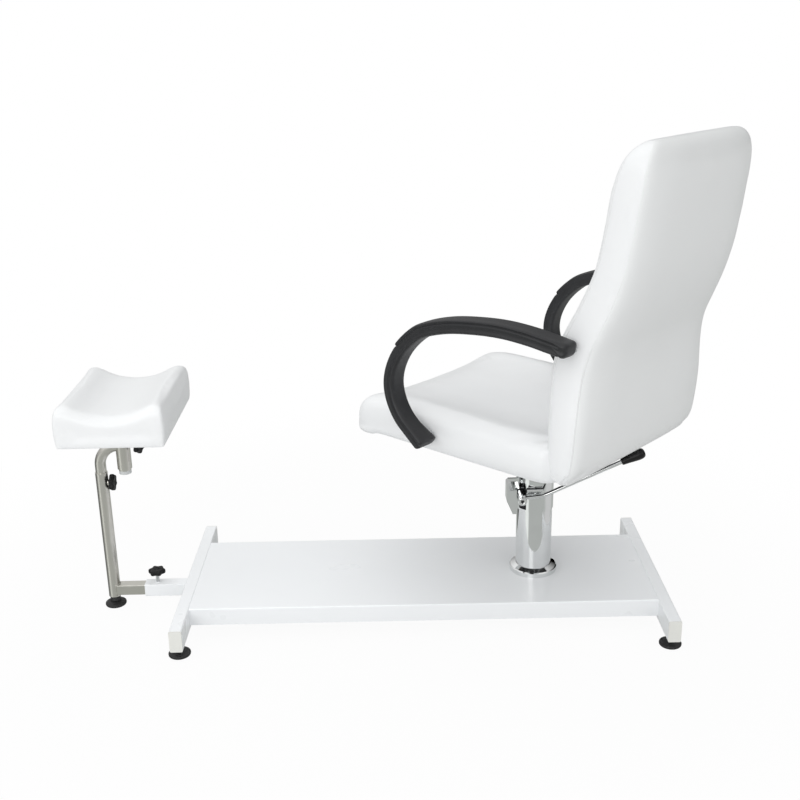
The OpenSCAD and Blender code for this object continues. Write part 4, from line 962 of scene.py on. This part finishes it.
UPRIGHT_X, POST_X, SOCKET_KNOB_X, TURN_KNOB_WAY = -0.728, -0.673, -0.624, math.radians(-18)
lying = Matrix.Rotation(math.pi / 2, 4, "Y")
knob_places = {  # where the axis starts, how it is turned, and how far along it the knob sits
    "reach": ((SOCKET_KNOB_X, 0, 0.079), Matrix.Identity(4), 0),
    "height": ((UPRIGHT_X, 0, 0.314), lying, 0.0173),
    "turn": ((POST_X, 0, 0.409), Matrix.Rotation(TURN_KNOB_WAY, 4, "Z") @ lying, 0.036)}
for name, (start, turn, out) in knob_places.items():
    clamp_knob(f"{name}_knob_head", f"{name}_knob", f"{name}_clamp",
               base_frame @ Matrix.Translation(start) @ turn @ Matrix.Translation((0, 0, out)))
print("knobs ready")

# %% [markdown]
# Levelling feet are moulded discs on threaded stems. The disc is spun with a rounded rim
# and a short boss. The foot under the foot rest's post also has a black collar, which
# fills the gap up to the tube.

# %% Levelling feet
foot_profile = [(0.0, 0.0), (0.0205, 0.0), (0.0232, 0.0006), (0.0243, 0.0020), (0.0245, 0.0052),
                (0.0240, 0.0066), (0.0222, 0.0077), (0.0160, 0.0098), (0.0110, 0.0117),
                (0.0092, 0.0128), (0.0088, 0.0137), (0.0080, 0.0140), (0.0040, 0.0140), (0.0, 0.0138)]
foot_places = {n: Vector(joints[f"foot_turn_{n}"]["pos_m"]) for n in range(1, 6)}
for n, place in foot_places.items():
    subdivided(piece(f"foot_{n}_pad", turned(foot_profile, 56), foot_rubber, f"foot_{n}",
                     [f"foot_disc_{n}"],
                     frame_of=Matrix.Translation((place.x, place.y, 0))))
print("feet ready")

# %% Collar of the leg foot
COLLAR_LOW, COLLAR_R, COLLAR_GAP = 0.0132, 0.0118, 0.0006
leg_foot = min(foot_places, key=lambda n: foot_places[n].x)
collar_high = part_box("slide_tube")[0][2] - COLLAR_GAP
collar_rows = [
    (0.0, COLLAR_LOW), (COLLAR_R + 0.0015, COLLAR_LOW), (COLLAR_R, COLLAR_LOW + 0.002),
    (COLLAR_R, collar_high - 0.001), (COLLAR_R - 0.001, collar_high), (0.0, collar_high)]
piece("leg_foot_collar", turned(collar_rows, 40), foot_rubber, f"foot_{leg_foot}",
      frame_of=Matrix.Translation((foot_places[leg_foot].x, foot_places[leg_foot].y, 0)))
print("collar from", COLLAR_LOW, "to", round(collar_high, 4))

# %% [markdown]
# The bar that slides in the socket is welded to the upright tube. A weld is a slightly
# uneven bead, so it is a welt with a ripple, laid along the line where the square bar
# meets the round tube.

# %% Weld bead
SLIDE_HALF, UPRIGHT_R, WELD_Z = 0.0125, 0.014, 0.0425
BEAD_R, BEAD_RIPPLE, SIDE_STEPS = 0.0015, 0.16, 24
weld = []
for k in range(4 * SIDE_STEPS + 1):
    side, step = divmod(k % (4 * SIDE_STEPS) / SIDE_STEPS, 1)
    step = step * 2 - 1
    y = (step, 1, -step, -1)[int(side)] * SLIDE_HALF
    z = (1, -step, -1, step)[int(side)] * SLIDE_HALF
    weld.append(Vector((math.sqrt(UPRIGHT_R ** 2 - y * y), y, z)))
piece("upright_weld", welt(weld, BEAD_R, BEAD_RIPPLE), steel_bar, "leg",
      frame_of=base_frame @ Matrix.Translation((UPRIGHT_X, 0, WELD_Z)))
print("weld ready")

# %% [markdown]
# The stems of the feet get a real thread: a small tooth profile that is spun round and
# climbs as it goes.


# %% Threads
THREAD_R, THREAD_DEPTH, PITCH, PITCH_STEPS = 0.0043, 0.0004, 0.00125, 20
THREAD_LOW, THREAD_L = 0.0142, 0.0105


def thread(name, body, turn):
    """A raised helical tooth along +Z of turn, on the stem of a foot."""
    shape = bmesh.new()
    teeth = [(THREAD_R - THREAD_DEPTH, 0), (THREAD_R + 0.00002, PITCH * 0.42),
             (THREAD_R - THREAD_DEPTH, PITCH * 0.84)]
    verts = [shape.verts.new((r, 0, h)) for r, h in teeth]
    line = [shape.edges.new(pair) for pair in zip(verts, verts[1:] + verts[:1])]
    turns = int(THREAD_L / PITCH)
    bmesh.ops.spin(shape, geom=verts + line, cent=(0, 0, 0), axis=(0, 0, 1), angle=math.tau * turns,
                   steps=PITCH_STEPS * turns, dvec=(0, 0, PITCH / PITCH_STEPS))
    bmesh.ops.holes_fill(shape, edges=[edge for edge in shape.edges if edge.is_boundary], sides=0)
    bmesh.ops.recalc_face_normals(shape, faces=shape.faces)
    piece(name, shape, zinc, body, smooth=False, frame_of=turn)


for n, place in foot_places.items():
    thread(f"foot_{n}_thread", f"foot_{n}", Matrix.Translation((place.x, place.y, THREAD_LOW)))
print("threads ready")
